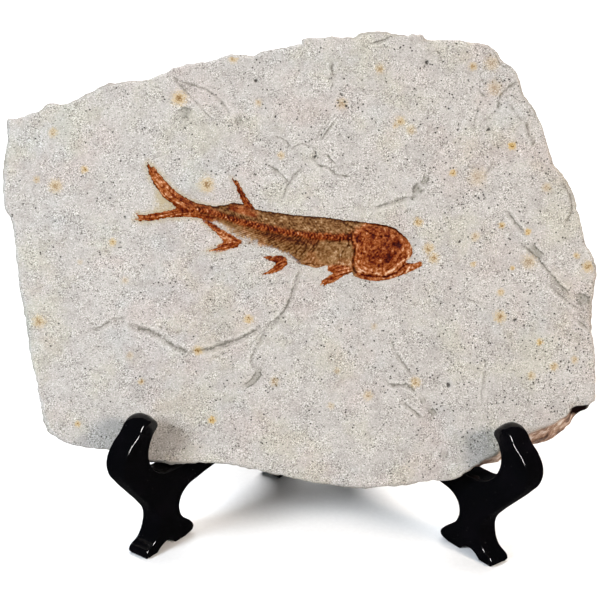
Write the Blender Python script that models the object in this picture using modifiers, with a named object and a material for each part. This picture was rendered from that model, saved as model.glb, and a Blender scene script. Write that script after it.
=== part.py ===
"""Fossil fish in a limestone slab, standing on a folding plate stand.

The stand is two flat moulded panels that meet in a V, with the V's mouth to the front,
and turn about an upright pin at its tip. The slab sits in the panels' seats and leans
back on their uprights. The fish is a thin film of mineral bone on the slab's face.

Metres, +Z up, seen from the -Y side. The origin is on the ground under the middle of
the whole object. Lengths below are written in millimetres and multiplied by MM.
"""

import math

import bmesh
import bpy
from mathutils import Euler, Vector, noise

MM = 0.001
GAP = 0.3                               # clearance between pieces that touch

# Slab, measured on its front face: u to the right, v up the slope from the seat line.
SLAB_LEAN = math.radians(24)            # leans back from upright
SLAB_DEPTH = 7.5                        # front face to back face
SEAT_LINE = (-0.4, -25.2, 25.2)         # where u = v = 0
SLAB_COLUMNS = 34
SLAB_ROWS = 26

# Broken edge of the slab, as (depth below the face, step out from the outline,
# share of the back edge's own lip that shows at that depth).
EDGE_LAYERS = (
    (0.0, -0.9, 0.0),
    (0.9, 0.0, 0.05),
    (2.9, -0.5, 0.40),
    (4.6, 0.4, 0.80),
    (6.8, 0.0, 1.0),
    (SLAB_DEPTH, -0.8, 1.0),
)
EDGE_UNEVENNESS = 0.35
EDGE_NOTCH_SIZE = 7.7                   # along the edge, from one bump to the next
SLAB_CREASE = math.radians(25)          # edges sharper than this stay crisp

# Outline of the slab's face as four sides of (u, v, lip). The lip is how far the back
# edge stands out past the front edge there.
SLAB_BOTTOM = (
    (-65.5, 9.5, -0.5), (-62.5, 7.6, -0.8), (-57.5, 6.0, -1.0), (-50.0, 5.2, -1.0),
    (-42.0, 3.4, 0.0), (-37.5, 2.7, 0.8), (-29.0, 2.4, 0.7), (-22.0, 2.5, -0.6),
    (-16.0, 2.0, -0.8), (-8.0, 0.3, -1.0), (0.0, -1.2, -1.0), (8.0, -2.4, -1.0),
    (17.5, -3.2, -1.0), (28.0, -2.4, -1.0), (36.0, -1.1, -1.4), (43.0, -0.5, -2.2),
    (46.0, 1.6, -0.3), (49.4, 3.9, 0.8), (54.7, 7.1, 2.4), (60.0, 11.0, 3.6),
    (65.0, 13.5, 4.2), (69.0, 15.2, 4.2), (72.0, 17.2, 3.6), (74.3, 19.4, 1.2),
    (77.7, 20.2, 0.0), (79.8, 21.7, -0.5),
)
SLAB_RIGHT = (
    (79.8, 21.7, -0.5), (80.0, 26.0, -1.5), (79.3, 36.5, -1.5), (78.3, 41.5, -1.5),
    (78.6, 48.5, -1.5), (79.2, 56.0, -1.5), (78.2, 60.5, -1.2), (75.7, 64.5, -0.8),
    (74.2, 71.0, -0.8), (71.8, 77.7, -1.0), (68.9, 82.4, -1.0), (66.4, 85.5, -1.4),
    (64.0, 93.4, -1.4), (61.2, 98.7, -1.0), (58.4, 102.6, -0.6), (56.9, 107.0, -0.6),
    (55.2, 109.9, -0.4), (52.2, 111.6, -0.4), (50.0, 114.4, -0.6),
)
SLAB_TOP = (
    (-78.5, 92.5, -0.8), (-75.3, 92.8, -1.0), (-70.1, 94.7, -1.0), (-66.5, 96.5, -1.0),
    (-58.4, 99.0, -1.0), (-51.9, 102.1, -1.0), (-41.4, 104.2, -1.0), (-33.5, 107.7, -1.0),
    (-25.6, 109.2, -1.0), (-20.9, 111.2, -1.0), (-14.6, 110.9, -1.0), (-11.2, 112.3, -1.0),
    (-1.9, 114.2, -0.6), (-0.7, 115.8, -0.4), (6.0, 116.3, -0.4), (12.6, 116.5, 0.2),
    (14.4, 117.6, 0.4), (20.5, 118.1, 0.4), (23.2, 117.4, -0.4), (29.9, 117.9, -1.0),
    (32.6, 116.4, -1.0), (40.6, 116.6, -1.0), (47.0, 115.8, -0.8), (50.0, 114.4, -0.6),
)
SLAB_LEFT = (
    (-65.5, 9.5, -0.5), (-67.0, 12.7, -1.0), (-68.1, 17.5, -1.0), (-69.3, 23.3, -1.0),
    (-71.1, 31.2, -1.0), (-72.6, 39.1, -1.0), (-74.2, 47.0, -1.0), (-75.8, 58.9, -1.0),
    (-76.7, 65.4, -1.0), (-78.7, 69.3, -0.8), (-79.3, 73.3, -0.8), (-79.0, 81.2, -1.0),
    (-78.6, 89.0, -0.8), (-78.5, 92.5, -0.8),
)

# Low swells of the slab's two faces, and the calm patch under the fish. Each face has
# its own layer of the noise field.
FACE_SWELL = 0.35
BACK_SWELL = 0.5
SWELL_SIZE = 22.0
FACE_LAYER = 3.0
BACK_LAYER = 8.0
CALM_CENTRE = (-6.0, 65.0)
CALM_REACH = (45.0, 22.0)

# Fish, in the slab's (u, v).
FISH_FILM = 0.6                         # thickness of the film of bone
FILM_TOP = GAP + FISH_FILM              # its outer side, above the slab's face
CORNER = "corner"
FISH_OUTLINE = (
    (-41.2, 81.6, CORNER), (-37.3, 77.2), (-32.3, 73.6), (-27.5, 71.4), (-22.5, 70.8),
    (-17.3, 71.8), (-17.8, 74.6), (-18.7, 78.6, CORNER), (-17.0, 77.0), (-14.6, 72.3),
    (-13.0, 70.5), (-6.4, 69.3), (3.5, 68.3), (12.0, 68.1), (21.2, 67.4), (26.6, 65.7),
    (29.4, 62.6), (29.6, 59.4), (28.6, 57.6, CORNER), (32.2, 57.9, CORNER),
    (32.2, 55.9, CORNER), (27.0, 54.1), (21.5, 52.4), (17.0, 52.1), (13.6, 52.4),
    (9.4, 51.2), (5.4, 50.7, CORNER), (8.2, 53.2), (6.6, 55.2), (1.0, 55.9),
    (-3.8, 56.2), (-7.2, 53.5), (-10.2, 52.8, CORNER), (-7.0, 56.2), (-10.2, 57.2, CORNER),
    (-7.0, 58.1), (-12.0, 59.2), (-16.4, 61.2), (-20.0, 59.2), (-25.1, 58.6, CORNER),
    (-20.8, 61.3), (-24.4, 65.0), (-26.6, 66.7), (-31.6, 67.3), (-37.6, 66.7),
    (-43.7, 66.2), (-45.0, 67.1, CORNER), (-40.7, 68.3), (-32.6, 69.7), (-36.0, 72.8),
    (-39.5, 77.0),
)
FISH_CURVE_STEPS = 2

# Backbone: (u, v, bone radius), with one bead for each vertebra along it.
BACKBONE = (
    (-30.5, 69.4, 0.55), (-24.0, 69.0, 0.65), (-17.9, 67.4, 0.75), (-9.8, 65.4, 0.85),
    (-1.7, 64.0, 0.90), (6.3, 63.8, 0.90), (12.6, 63.5, 0.85),
)
VERTEBRAE = 20
WAIST = 0.72                            # narrowest part of a vertebra, of its radius
BACKBONE_RISE = 0.35                    # of the bones' middle line above the film
BACKBONE_ARCH = 0.35                    # the further rise of its middle
FLANK = ((-27.0, 68.9, 2.0), (-16.0, 66.4, 3.9), (-4.0, 63.5, 5.0), (7.0, 62.0, 5.8),
         (14.0, 60.8, 6.6))
FLANK_RISE = 0.75
FLANK_STATIONS = 15
FLANK_TOP = (-1.0, -0.6, 0.0, 0.6, 1.0)   # across the body, as shares of its half height
FLANK_FLOOR = (0.9, -0.9)
FLANK_EDGE_HEIGHT = 0.8                 # both inside the film
FLANK_FLOOR_HEIGHT = 0.45
SKULL_CENTRE = (20.6, 60.3)
SKULL_RADII = (8.6, 6.9, 1.5)
SKULL_MIDDLE = 0.75                     # height of the dome's widest level
SKULL_FLOOR = 0.5
GILL_EDGE = ((14.9, 65.4), (13.9, 61.5), (13.7, 57.6), (14.6, 54.6), (17.4, 53.6))
JAW_EDGE = ((17.4, 53.3), (22.5, 53.6), (27.0, 55.2), (31.4, 56.9))
GILL_RADIUS = 0.55
GILL_LIFT = 0.35                        # of its middle line above the film
JAW_RADIUS = 0.6
JAW_LIFT = 0.2
EYE_CENTRE = (24.9, 61.6, 2.05)
EYE_RADIUS = 1.9
EYE_TUBE = 0.45
FIN_RAYS = (
    ((-31.0, 69.6), (-36.4, 73.8), (-40.6, 80.0)),
    ((-30.5, 70.6), (-34.0, 73.6), (-38.6, 78.0)),
    ((-31.5, 68.6), (-37.6, 67.9), (-43.8, 66.9)),
    ((-31.0, 68.0), (-36.5, 67.2), (-42.6, 66.6)),
    ((-15.0, 70.9), (-16.9, 74.4), (-18.2, 77.4)),
    ((-17.9, 61.1), (-21.4, 59.9), (-24.2, 59.0)),
    ((-21.6, 62.0), (-23.6, 64.2), (-26.0, 66.2)),
    ((-4.5, 57.0), (-7.0, 57.3), (-9.4, 57.2)),
    ((-4.5, 56.2), (-7.0, 54.8), (-9.4, 53.3)),
    ((12.8, 53.8), (9.4, 52.5), (6.4, 51.2)),
    ((12.8, 54.9), (10.6, 54.2), (8.4, 54.2)),
)
RAY_RADIUS = 0.32
TAPER = 0.6                             # radius of a thin bone's ends, of its middle's

# Stand.
HINGE = (7.2, 33.0)                     # x and y of the pin
PANEL_ANGLE = math.radians(39)          # each panel's turn from straight ahead
PANEL_THICKNESS = 6.5
PANEL_ROUNDING = 1.3
PANEL_CURVE_STEPS = 2
PANEL_CREASE = math.radians(35)
RIM_ANGLE = math.radians(75)            # only edges sharper than this are rounded

# Panel seen from the side: (distance from the pin, height), clockwise from the hook.
HOOK = (
    (74.0, 40.3), (75.3, 42.6), (77.9, 43.3), (80.6, 41.9), (82.4, 39.3), (85.4, 37.0),
    (87.7, 33.2), (87.2, 28.9), (84.4, 25.0), (79.3, 19.4), (75.0, 14.7),
)
FRONT_FOOT = (
    (72.6, 11.3), (72.3, 8.1), (73.9, 4.2), (77.9, 1.2), (77.2, 0.0, CORNER),
    (73.0, 0.0, CORNER), (70.9, 1.5), (68.4, 2.0), (66.4, 1.3), (65.2, 0.0, CORNER),
    (61.0, 0.0, CORNER), (57.6, 1.5), (58.8, 3.9), (61.6, 6.1), (63.6, 9.1), (63.8, 12.5),
)
ARCH = ((61.6, 15.3), (56.0, 16.7), (48.9, 17.6), (41.0, 18.1), (33.0, 17.9), (26.6, 16.7))
REAR_FOOT = (
    (22.2, 14.0), (20.0, 10.2), (19.2, 6.8), (20.3, 4.0), (20.4, 1.6), (18.6, 0.0, CORNER),
    (9.8, 0.0, CORNER), (7.4, 1.7), (7.9, 4.7), (9.4, 8.6), (9.7, 13.4), (8.7, 18.8),
)
HINGE_EDGE = ((7.5, 24.4, CORNER), (7.5, 61.0, CORNER))
UPRIGHT = (
    (10.4, 65.2), (14.4, 69.2), (16.8, 74.4), (18.7, 79.0), (21.6, 82.4), (25.0, 83.6),
    (28.1, 82.2), (30.4, 79.2), (31.8, 75.6), (30.8, 69.6), (28.4, 61.6), (27.1, 52.0),
    (27.4, 42.0), (29.4, 34.0), (33.6, 28.2),
)
SEAT = (
    (40.5, 25.2), (50.0, 24.0), (60.0, 23.7), (67.0, 23.7), (71.2, 24.3), (74.6, 26.3),
    (76.9, 29.5), (77.6, 33.4), (76.2, 37.4),
)
PANEL_OUTLINE = HOOK + FRONT_FOOT + ARCH + REAR_FOOT + HINGE_EDGE + UPRIGHT + SEAT

# Hinge: knuckles on a shared pin, the right panel's one between the left panel's two.
KNUCKLE_RADIUS = 4.2
KNUCKLE_SIDES = 24
ARM_THICKNESS = 4.4
ARM_REACH = 10.0                        # how far an arm runs into its panel
PIN_RADIUS = 1.6
BORE_LENGTH = 60.0                      # runs out past every knuckle
BORE_MIDDLE = 43.0
LEFT_KNUCKLES = ((26.4, 35.0), (51.0, 59.4))
RIGHT_KNUCKLES = ((35.0 + GAP, 51.0 - GAP),)
PIN_PROFILE = (                         # (radius, height) down the outside, dome first
    (0.0, 61.9), (1.7, 61.5), (2.7, 60.7), (2.9, 59.4 + GAP), (PIN_RADIUS, 59.4 + GAP),
    (PIN_RADIUS, 26.4 - GAP), (2.6, 26.4 - GAP), (2.6, 25.2), (1.9, 24.6), (0.0, 24.6),
)
PIN_STEPS = 16


# ---------------------------------------------------------------- scene and materials

def clear_scene():
    """Remove every object of the open file."""
    for old in list(bpy.data.objects):
        bpy.data.objects.remove(old, do_unlink=True)


def new_collection(name):
    """A collection under the scene's own."""
    made = bpy.data.collections.new(name)
    bpy.context.scene.collection.children.link(made)
    return made


def new_material(name, colour, roughness):
    """A plain Principled material."""
    material = bpy.data.materials.new(name)
    material.use_nodes = True
    shader = material.node_tree.nodes["Principled BSDF"]
    shader.inputs["Base Color"].default_value = (*colour, 1.0)
    shader.inputs["Roughness"].default_value = roughness
    material.diffuse_color = (*colour, 1.0)
    return material


def new_object(name, mesh, collection, material=None):
    """An object of this mesh, in this collection."""
    made = bpy.data.objects.new(name, mesh)
    collection.objects.link(made)
    if material:
        mesh.materials.append(material)
    return made


def mesh_from_bmesh(name, shape):
    """Turn a finished bmesh into a mesh with its faces pointing out."""
    bmesh.ops.recalc_face_normals(shape, faces=shape.faces[:])
    mesh = bpy.data.meshes.new(name)
    shape.to_mesh(mesh)
    shape.free()
    return mesh


def as_cutter(piece):
    """Mark an object as a tool that shapes others and is no piece itself."""
    piece.hide_render = True
    piece.display_type = "WIRE"
    return piece


def add_boolean(piece, other, operation, solver="EXACT"):
    """Join another object to a piece, or cut it out."""
    modifier = piece.modifiers.new(other.name, "BOOLEAN")
    modifier.operation = operation
    modifier.solver = solver
    modifier.object = other


def shade_round(piece, angle):
    """Smooth shading, with edges sharper than this angle kept crisp."""
    piece.data.shade_smooth()
    piece.data.set_sharp_from_angle(angle=angle)


# ------------------------------------------------------------------------ curve tools

def outline_curve(name, points, steps, thickness):
    """A flat closed outline through the points, extruded to a thickness."""
    curve = bpy.data.curves.new(name, "CURVE")
    curve.dimensions = "2D"
    curve.fill_mode = "BOTH"
    curve.extrude = thickness * MM / 2
    curve.resolution_u = steps
    spline = curve.splines.new("BEZIER")
    spline.bezier_points.add(len(points) - 1)
    spline.use_cyclic_u = True
    for knot, point in zip(spline.bezier_points, points):
        handle = "VECTOR" if CORNER in point else "AUTO"
        knot.handle_left_type = handle
        knot.handle_right_type = handle
        knot.co = Vector((point[0], point[1], 0.0)) * MM
    return curve


def rod_curve(name, points, radii, sides=2):
    """A rod of changing radius through the points."""
    curve = bpy.data.curves.new(name, "CURVE")
    curve.dimensions = "3D"
    curve.bevel_depth = MM
    curve.bevel_resolution = sides
    curve.use_fill_caps = True
    spline = curve.splines.new("POLY")
    spline.points.add(len(points) - 1)
    for knot, point, radius in zip(spline.points, points, radii):
        knot.co = (*(Vector(point) * MM), 1.0)
        knot.radius = radius
    return curve


def mesh_from_curve(curve, collection, location=(0, 0, 0), rotation=(0, 0, 0)):
    """Make a placed object's mesh from a curve, with the curve's caps welded on."""
    source = bpy.data.objects.new(curve.name + "_curve", curve)
    source.location = location
    source.rotation_euler = rotation
    collection.objects.link(source)
    graph = bpy.context.evaluated_depsgraph_get()
    mesh = bpy.data.meshes.new_from_object(source.evaluated_get(graph))
    mesh.name = curve.name
    shape = bmesh.new()
    shape.from_mesh(mesh)
    bmesh.ops.remove_doubles(shape, verts=shape.verts[:], dist=0.00001)
    bmesh.ops.recalc_face_normals(shape, faces=shape.faces[:])
    shape.to_mesh(mesh)
    shape.free()
    made = bpy.data.objects.new(curve.name, mesh)
    made.matrix_world = source.matrix_world.copy()
    collection.objects.link(made)
    bpy.data.objects.remove(source, do_unlink=True)
    return made


# ------------------------------------------------------------------------------- slab

FACE_ROTATION = Euler((math.pi / 2 - SLAB_LEAN, 0.0, 0.0))


def place_on_face(piece):
    """Put a piece made in (u, v, height off the face) on the leaning slab."""
    piece.location = Vector(SEAT_LINE) * MM
    piece.rotation_euler = FACE_ROTATION
    return piece


def sample_side(side, count):
    """Points at even steps along a side, both ends included."""
    points = [Vector(point) for point in side]
    runs = [(b.xy - a.xy).length for a, b in zip(points, points[1:])]
    step = sum(runs) / count
    samples = []
    for k in range(count + 1):
        left = min(k * step, sum(runs) - 1e-9)
        index = 0
        while left > runs[index]:
            left -= runs[index]
            index += 1
        samples.append(points[index].lerp(points[index + 1], left / runs[index]))
    return samples


def slab_border():
    """The slab's outline, anticlockwise from the bottom left, as (u, v, lip) vectors."""
    bottom = sample_side(SLAB_BOTTOM, SLAB_COLUMNS)[:-1]
    right = sample_side(SLAB_RIGHT, SLAB_ROWS)[:-1]
    top = sample_side(SLAB_TOP, SLAB_COLUMNS)[:0:-1]
    left = sample_side(SLAB_LEFT, SLAB_ROWS)[:0:-1]
    return bottom + right + top + left


def outward_normals(ring):
    """Unit normals of a closed anticlockwise ring, in its plane."""
    normals = []
    for k, point in enumerate(ring):
        along = ring[(k + 1) % len(ring)].xy - ring[k - 1].xy
        normals.append(Vector((along.y, -along.x)).normalized())
    return normals


def edge_ring(border, normals, layer):
    """One ring of the broken edge, with a little unevenness from stone to stone."""
    depth, step, share = layer
    ring = []
    for point, normal in zip(border, normals):
        out = step + share * point.z
        if depth > 0.0:
            place = Vector((point.x / EDGE_NOTCH_SIZE, point.y / EDGE_NOTCH_SIZE, depth))
            out += EDGE_UNEVENNESS * noise.noise(place)
        flat = point.xy + normal * out
        ring.append(Vector((flat.x, flat.y, -depth)))
    return ring


def fill_ring(ring):
    """A grid of points inside a ring, blended smoothly between its four sides."""
    columns, rows = SLAB_COLUMNS, SLAB_ROWS
    bottom = ring[:columns + 1]
    right = ring[columns:columns + rows + 1]
    top = ring[columns + rows:2 * columns + rows + 1][::-1]
    left = (ring[2 * columns + rows:] + ring[:1])[::-1]
    grid = []
    for r in range(rows + 1):
        t = r / rows
        row = []
        for c in range(columns + 1):
            s = c / columns
            across = left[r].lerp(right[r], s)
            upward = bottom[c].lerp(top[c], t)
            corners = bottom[0].lerp(bottom[-1], s).lerp(top[0].lerp(top[-1], s), t)
            row.append(across + upward - corners)
        grid.append(row)
    return grid


def swell(point, height, layer):
    """Low swell of a face, fading to none under the fish."""
    du = (point.x - CALM_CENTRE[0]) / CALM_REACH[0]
    dv = (point.y - CALM_CENTRE[1]) / CALM_REACH[1]
    calm = min(1.0, max(0.0, math.hypot(du, dv) - 1.0))
    place = Vector((point.x / SWELL_SIZE, point.y / SWELL_SIZE, layer))
    return height * calm * (noise.noise(place) - 0.5)


def build_slab(collection, material):
    """The slab: two gently swelling faces and a layered broken edge between them."""
    border = slab_border()
    normals = outward_normals(border)
    rings = [edge_ring(border, normals, layer) for layer in EDGE_LAYERS]
    shape = bmesh.new()
    loops = [[shape.verts.new(point * MM) for point in ring] for ring in rings]
    for upper, lower in zip(loops, loops[1:]):
        for k in range(len(upper)):
            shape.faces.new((upper[k - 1], lower[k - 1], lower[k], upper[k]))
    add_face_grid(shape, rings[0], loops[0], lambda p: swell(p, FACE_SWELL, FACE_LAYER))
    add_face_grid(shape, rings[-1], loops[-1], lambda p: -swell(p, BACK_SWELL, BACK_LAYER))
    slab = new_object("slab", mesh_from_bmesh("slab", shape), collection, material)
    shade_round(slab, SLAB_CREASE)
    return place_on_face(slab)


def add_face_grid(shape, ring, loop, relief):
    """Fill one face of the slab with a grid that uses the ring's own vertices."""
    columns, rows = SLAB_COLUMNS, SLAB_ROWS
    grid = fill_ring(ring)
    verts = [[None] * (columns + 1) for _ in range(rows + 1)]
    for k in range(columns):
        verts[0][k] = loop[k]
        verts[rows][columns - k] = loop[columns + rows + k]
    for k in range(rows):
        verts[k][columns] = loop[columns + k]
        verts[rows - k][0] = loop[2 * columns + rows + k]
    for r in range(1, rows):
        for c in range(1, columns):
            point = grid[r][c] + Vector((0.0, 0.0, relief(grid[r][c])))
            verts[r][c] = shape.verts.new(point * MM)
    for r in range(rows):
        for c in range(columns):
            shape.faces.new((verts[r][c], verts[r][c + 1],
                             verts[r + 1][c + 1], verts[r + 1][c]))


# ------------------------------------------------------------------------------- fish

def lerp_along(table, u):
    """Read a table of (u, value, ...) rows at a place between its rows."""
    for low, high in zip(table, table[1:]):
        if u <= high[0]:
            break
    share = min(1.0, max(0.0, (u - low[0]) / (high[0] - low[0])))
    return [a + (b - a) * share for a, b in zip(low, high)]


def build_flank(tools):
    """The fish's side: a low lens along the body, thickest at the backbone."""
    shape = bmesh.new()
    sections = []
    for k in range(FLANK_STATIONS):
        u = FLANK[0][0] + (FLANK[-1][0] - FLANK[0][0]) * k / (FLANK_STATIONS - 1)
        _, v, half = lerp_along(FLANK, u)
        section = []
        for across in FLANK_TOP:
            rise = FLANK_EDGE_HEIGHT + FLANK_RISE * (1.0 - across * across)
            section.append((u, v + half * across, rise))
        for across in FLANK_FLOOR:
            section.append((u, v + half * across, FLANK_FLOOR_HEIGHT))
        sections.append([shape.verts.new(Vector(point) * MM) for point in section])
    for a, b in zip(sections, sections[1:]):
        for k in range(len(a)):
            shape.faces.new((a[k - 1], b[k - 1], b[k], a[k]))
    shape.faces.new(sections[0])
    shape.faces.new(sections[-1][::-1])
    return new_object("flank", mesh_from_bmesh("flank", shape), tools)


def build_backbone(tools):
    """A row of beads, one for each vertebra, that swell and narrow along one rod."""
    points, radii = [], []
    for k in range(2 * VERTEBRAE + 1):
        share = k / (2 * VERTEBRAE)
        u = BACKBONE[0][0] + (BACKBONE[-1][0] - BACKBONE[0][0]) * share
        _, v, radius = lerp_along(BACKBONE, u)
        rise = FILM_TOP + BACKBONE_RISE + BACKBONE_ARCH * math.sin(math.pi * share)
        points.append((u, v, rise))
        radii.append(radius * (WAIST if k % 2 else 1.0))
    return mesh_from_curve(rod_curve("backbone", points, radii, sides=1), tools)


def build_skull(tools):
    """A low dome for the crushed skull."""
    shape = bmesh.new()
    bmesh.ops.create_uvsphere(shape, u_segments=20, v_segments=8, radius=MM)
    for vert in shape.verts:
        vert.co = Vector(a * b for a, b in zip(vert.co, SKULL_RADII))
        vert.co += Vector((*SKULL_CENTRE, SKULL_MIDDLE)) * MM
    bmesh.ops.bisect_plane(shape, geom=shape.verts[:] + shape.edges[:] + shape.faces[:],
                           plane_co=(0, 0, SKULL_FLOOR * MM), plane_no=(0, 0, -1),
                           clear_outer=True)
    rim = [edge for edge in shape.edges if edge.is_boundary]
    bmesh.ops.contextual_create(shape, geom=rim)
    return new_object("skull", mesh_from_bmesh("skull", shape), tools)


def build_ridge(name, tools, line, radius, lift):
    """A thin raised bone that follows a line and tapers at both ends."""
    points = [(u, v, FILM_TOP + lift) for u, v in line]
    radii = [radius * TAPER] + [radius] * (len(line) - 2) + [radius * TAPER]
    return mesh_from_curve(rod_curve(name, points, radii, sides=1), tools)


def build_eye(tools):
    """The ring of bone round the eye."""
    bpy.ops.mesh.primitive_torus_add(
        major_segments=14, minor_segments=5, major_radius=EYE_RADIUS * MM,
        minor_radius=EYE_TUBE * MM, location=Vector(EYE_CENTRE) * MM)
    eye = bpy.context.active_object
    eye.name = "eye_ring"
    for holder in list(eye.users_collection):
        holder.objects.unlink(eye)
    tools.objects.link(eye)
    return eye


def build_fish(collection, tools, material):
    """The fish: an outline of thin film, with its bones standing up from it.

    The bones are joined on with MANIFOLD, since EXACT leaves open edges where the fin
    rays run almost flush with the film.
    """
    film = outline_curve("fossil_fish", FISH_OUTLINE, FISH_CURVE_STEPS, FISH_FILM)
    fish = mesh_from_curve(film, collection)
    for vert in fish.data.vertices:
        vert.co.z += (GAP + FISH_FILM / 2) * MM
    fish.data.materials.append(material)
    place_on_face(fish)
    bones = [build_flank(tools), build_backbone(tools), build_skull(tools), build_eye(tools)]
    bones.append(build_ridge("gill_cover", tools, GILL_EDGE, GILL_RADIUS, GILL_LIFT))
    bones.append(build_ridge("jaw", tools, JAW_EDGE, JAW_RADIUS, JAW_LIFT))
    for number, line in enumerate(FIN_RAYS, 1):
        bones.append(build_ridge(f"ray_{number}", tools, line, RAY_RADIUS, 0.0))
    bed = bpy.data.objects.new("fish_bed", None)
    tools.objects.link(place_on_face(bed))
    for bone in bones:
        bone.parent = bed
        add_boolean(fish, as_cutter(bone), "UNION", "MANIFOLD")
    return fish


# ------------------------------------------------------------------------------ stand

def panel_pose(side):
    """Location and rotation of a panel: its local X runs forward, its Y is up."""
    turn = side * PANEL_ANGLE - math.pi / 2
    return Vector((*HINGE, 0.0)) * MM, Euler((math.pi / 2, 0.0, turn))


def build_knuckle(name, tools, side, low, high):
    """A hinge barrel round the pin, with the arm that ties it to its panel."""
    height = (high - low) * MM
    barrel = bmesh.new()
    bmesh.ops.create_cone(barrel, cap_ends=True, segments=KNUCKLE_SIDES,
                          radius1=KNUCKLE_RADIUS * MM, radius2=KNUCKLE_RADIUS * MM,
                          depth=height)
    knuckle = new_object(name, mesh_from_bmesh(name, barrel), tools)
    block = bmesh.new()
    bmesh.ops.create_cube(block, size=1.0)
    for vert in block.verts:
        vert.co = Vector(((vert.co.x + 0.5) * ARM_REACH * MM,
                          vert.co.y * ARM_THICKNESS * MM, vert.co.z * height))
    arm = new_object(name + "_arm", mesh_from_bmesh(name + "_arm", block), tools)
    for piece in (knuckle, arm):
        piece.location = Vector((*HINGE, (low + high) / 2)) * MM
        piece.rotation_euler = (0.0, 0.0, side * PANEL_ANGLE - math.pi / 2)
    return as_cutter(knuckle), as_cutter(arm)


def build_bore(name, tools):
    """The pin's hole, as a cutter that runs through every knuckle."""
    shape = bmesh.new()
    bmesh.ops.create_cone(shape, cap_ends=True, segments=KNUCKLE_SIDES,
                          radius1=(PIN_RADIUS + GAP) * MM, radius2=(PIN_RADIUS + GAP) * MM,
                          depth=BORE_LENGTH * MM)
    bore = new_object(name, mesh_from_bmesh(name, shape), tools)
    bore.location = Vector((*HINGE, BORE_MIDDLE)) * MM
    return as_cutter(bore)


def build_panel(name, side, knuckles, collection, tools, material):
    """Half of the stand: a rounded flat panel with its knuckles. side is -1 or +1."""
    location, rotation = panel_pose(side)
    outline = outline_curve(name, PANEL_OUTLINE, PANEL_CURVE_STEPS, PANEL_THICKNESS)
    panel = mesh_from_curve(outline, collection, location, rotation)
    panel.data.materials.append(material)
    rounding = panel.modifiers.new("rounding", "BEVEL")
    rounding.width = PANEL_ROUNDING * MM
    rounding.segments = 1
    rounding.limit_method = "ANGLE"
    rounding.angle_limit = RIM_ANGLE
    for number, (low, high) in enumerate(knuckles, 1):
        for part in build_knuckle(f"{name}_knuckle_{number}", tools, side, low, high):
            add_boolean(panel, part, "UNION")
    add_boolean(panel, build_bore(name + "_bore", tools), "DIFFERENCE")
    shade_round(panel, PANEL_CREASE)
    return panel


def build_pin(collection, material):
    """The hinge pin, turned from its profile."""
    shape = bmesh.new()
    verts = [shape.verts.new(Vector((r, 0.0, z)) * MM) for r, z in PIN_PROFILE]
    for a, b in zip(verts, verts[1:]):
        shape.edges.new((a, b))
    mesh = bpy.data.meshes.new("hinge_pin")
    shape.to_mesh(mesh)
    shape.free()
    pin = new_object("hinge_pin", mesh, collection, material)
    pin.location = Vector((*HINGE, 0.0)) * MM
    turn = pin.modifiers.new("turn", "SCREW")
    turn.angle = math.tau
    turn.steps = PIN_STEPS
    turn.render_steps = PIN_STEPS
    turn.use_merge_vertices = True
    turn.merge_threshold = 0.00001
    turn.use_smooth_shade = True
    return pin


# ------------------------------------------------------------------------------- part

def build():
    """Make every piece."""
    clear_scene()
    pieces = new_collection("fossil_fish_on_stand")
    tools = new_collection("cutters")
    stone = new_material("limestone", (0.62, 0.60, 0.56), 0.9)
    bone = new_material("fossil_bone", (0.28, 0.09, 0.03), 0.7)
    plastic = new_material("black_plastic", (0.012, 0.012, 0.014), 0.25)
    build_slab(pieces, stone)
    build_fish(pieces, tools, bone)
    build_panel("stand_left", -1, LEFT_KNUCKLES, pieces, tools, plastic)
    build_panel("stand_right", 1, RIGHT_KNUCKLES, pieces, tools, plastic)
    build_pin(pieces, plastic)


build()
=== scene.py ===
"""Look of the fossil fish slab on its folding plate stand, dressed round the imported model.

The slab, the fish and the stand's two halves are made again in finer detail, each in the
place of its CAD node, and every piece gets its own procedural material. Lengths are in
millimetres and multiplied by MM where they reach Blender. Places on the slab are (u, v) on
its front face: u to the right, v up the slope from the line where the slab sits.
"""

import math
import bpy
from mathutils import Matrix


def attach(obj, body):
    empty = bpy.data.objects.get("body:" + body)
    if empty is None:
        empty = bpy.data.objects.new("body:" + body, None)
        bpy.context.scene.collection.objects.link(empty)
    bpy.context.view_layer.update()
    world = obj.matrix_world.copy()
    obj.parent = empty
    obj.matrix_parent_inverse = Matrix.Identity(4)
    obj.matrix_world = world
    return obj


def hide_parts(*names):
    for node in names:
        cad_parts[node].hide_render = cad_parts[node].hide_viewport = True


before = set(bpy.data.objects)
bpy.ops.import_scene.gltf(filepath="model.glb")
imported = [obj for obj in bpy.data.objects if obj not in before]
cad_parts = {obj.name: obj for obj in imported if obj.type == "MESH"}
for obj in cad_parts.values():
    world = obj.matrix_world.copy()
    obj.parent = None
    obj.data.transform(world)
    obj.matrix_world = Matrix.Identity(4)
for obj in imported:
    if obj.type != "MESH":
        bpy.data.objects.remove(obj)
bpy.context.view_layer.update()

from types import SimpleNamespace

import bmesh
import bpy
import numpy as np
from mathutils import Matrix, Vector

MM = 0.001

# Slab. Its lean, depth and seat line are those of its CAD solid.
SLAB_LEAN = math.radians(24)
SLAB_DEPTH = 7.5
SEAT_LINE = np.array((-0.4, -25.2, 25.2))
FACE_U = np.array((1.0, 0.0, 0.0))
FACE_V = np.array((0.0, math.sin(SLAB_LEAN), math.cos(SLAB_LEAN)))
FACE_OUT = np.array((0.0, -math.cos(SLAB_LEAN), math.sin(SLAB_LEAN)))
SLAB_COLUMNS = 280
SLAB_ROWS = 200

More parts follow.
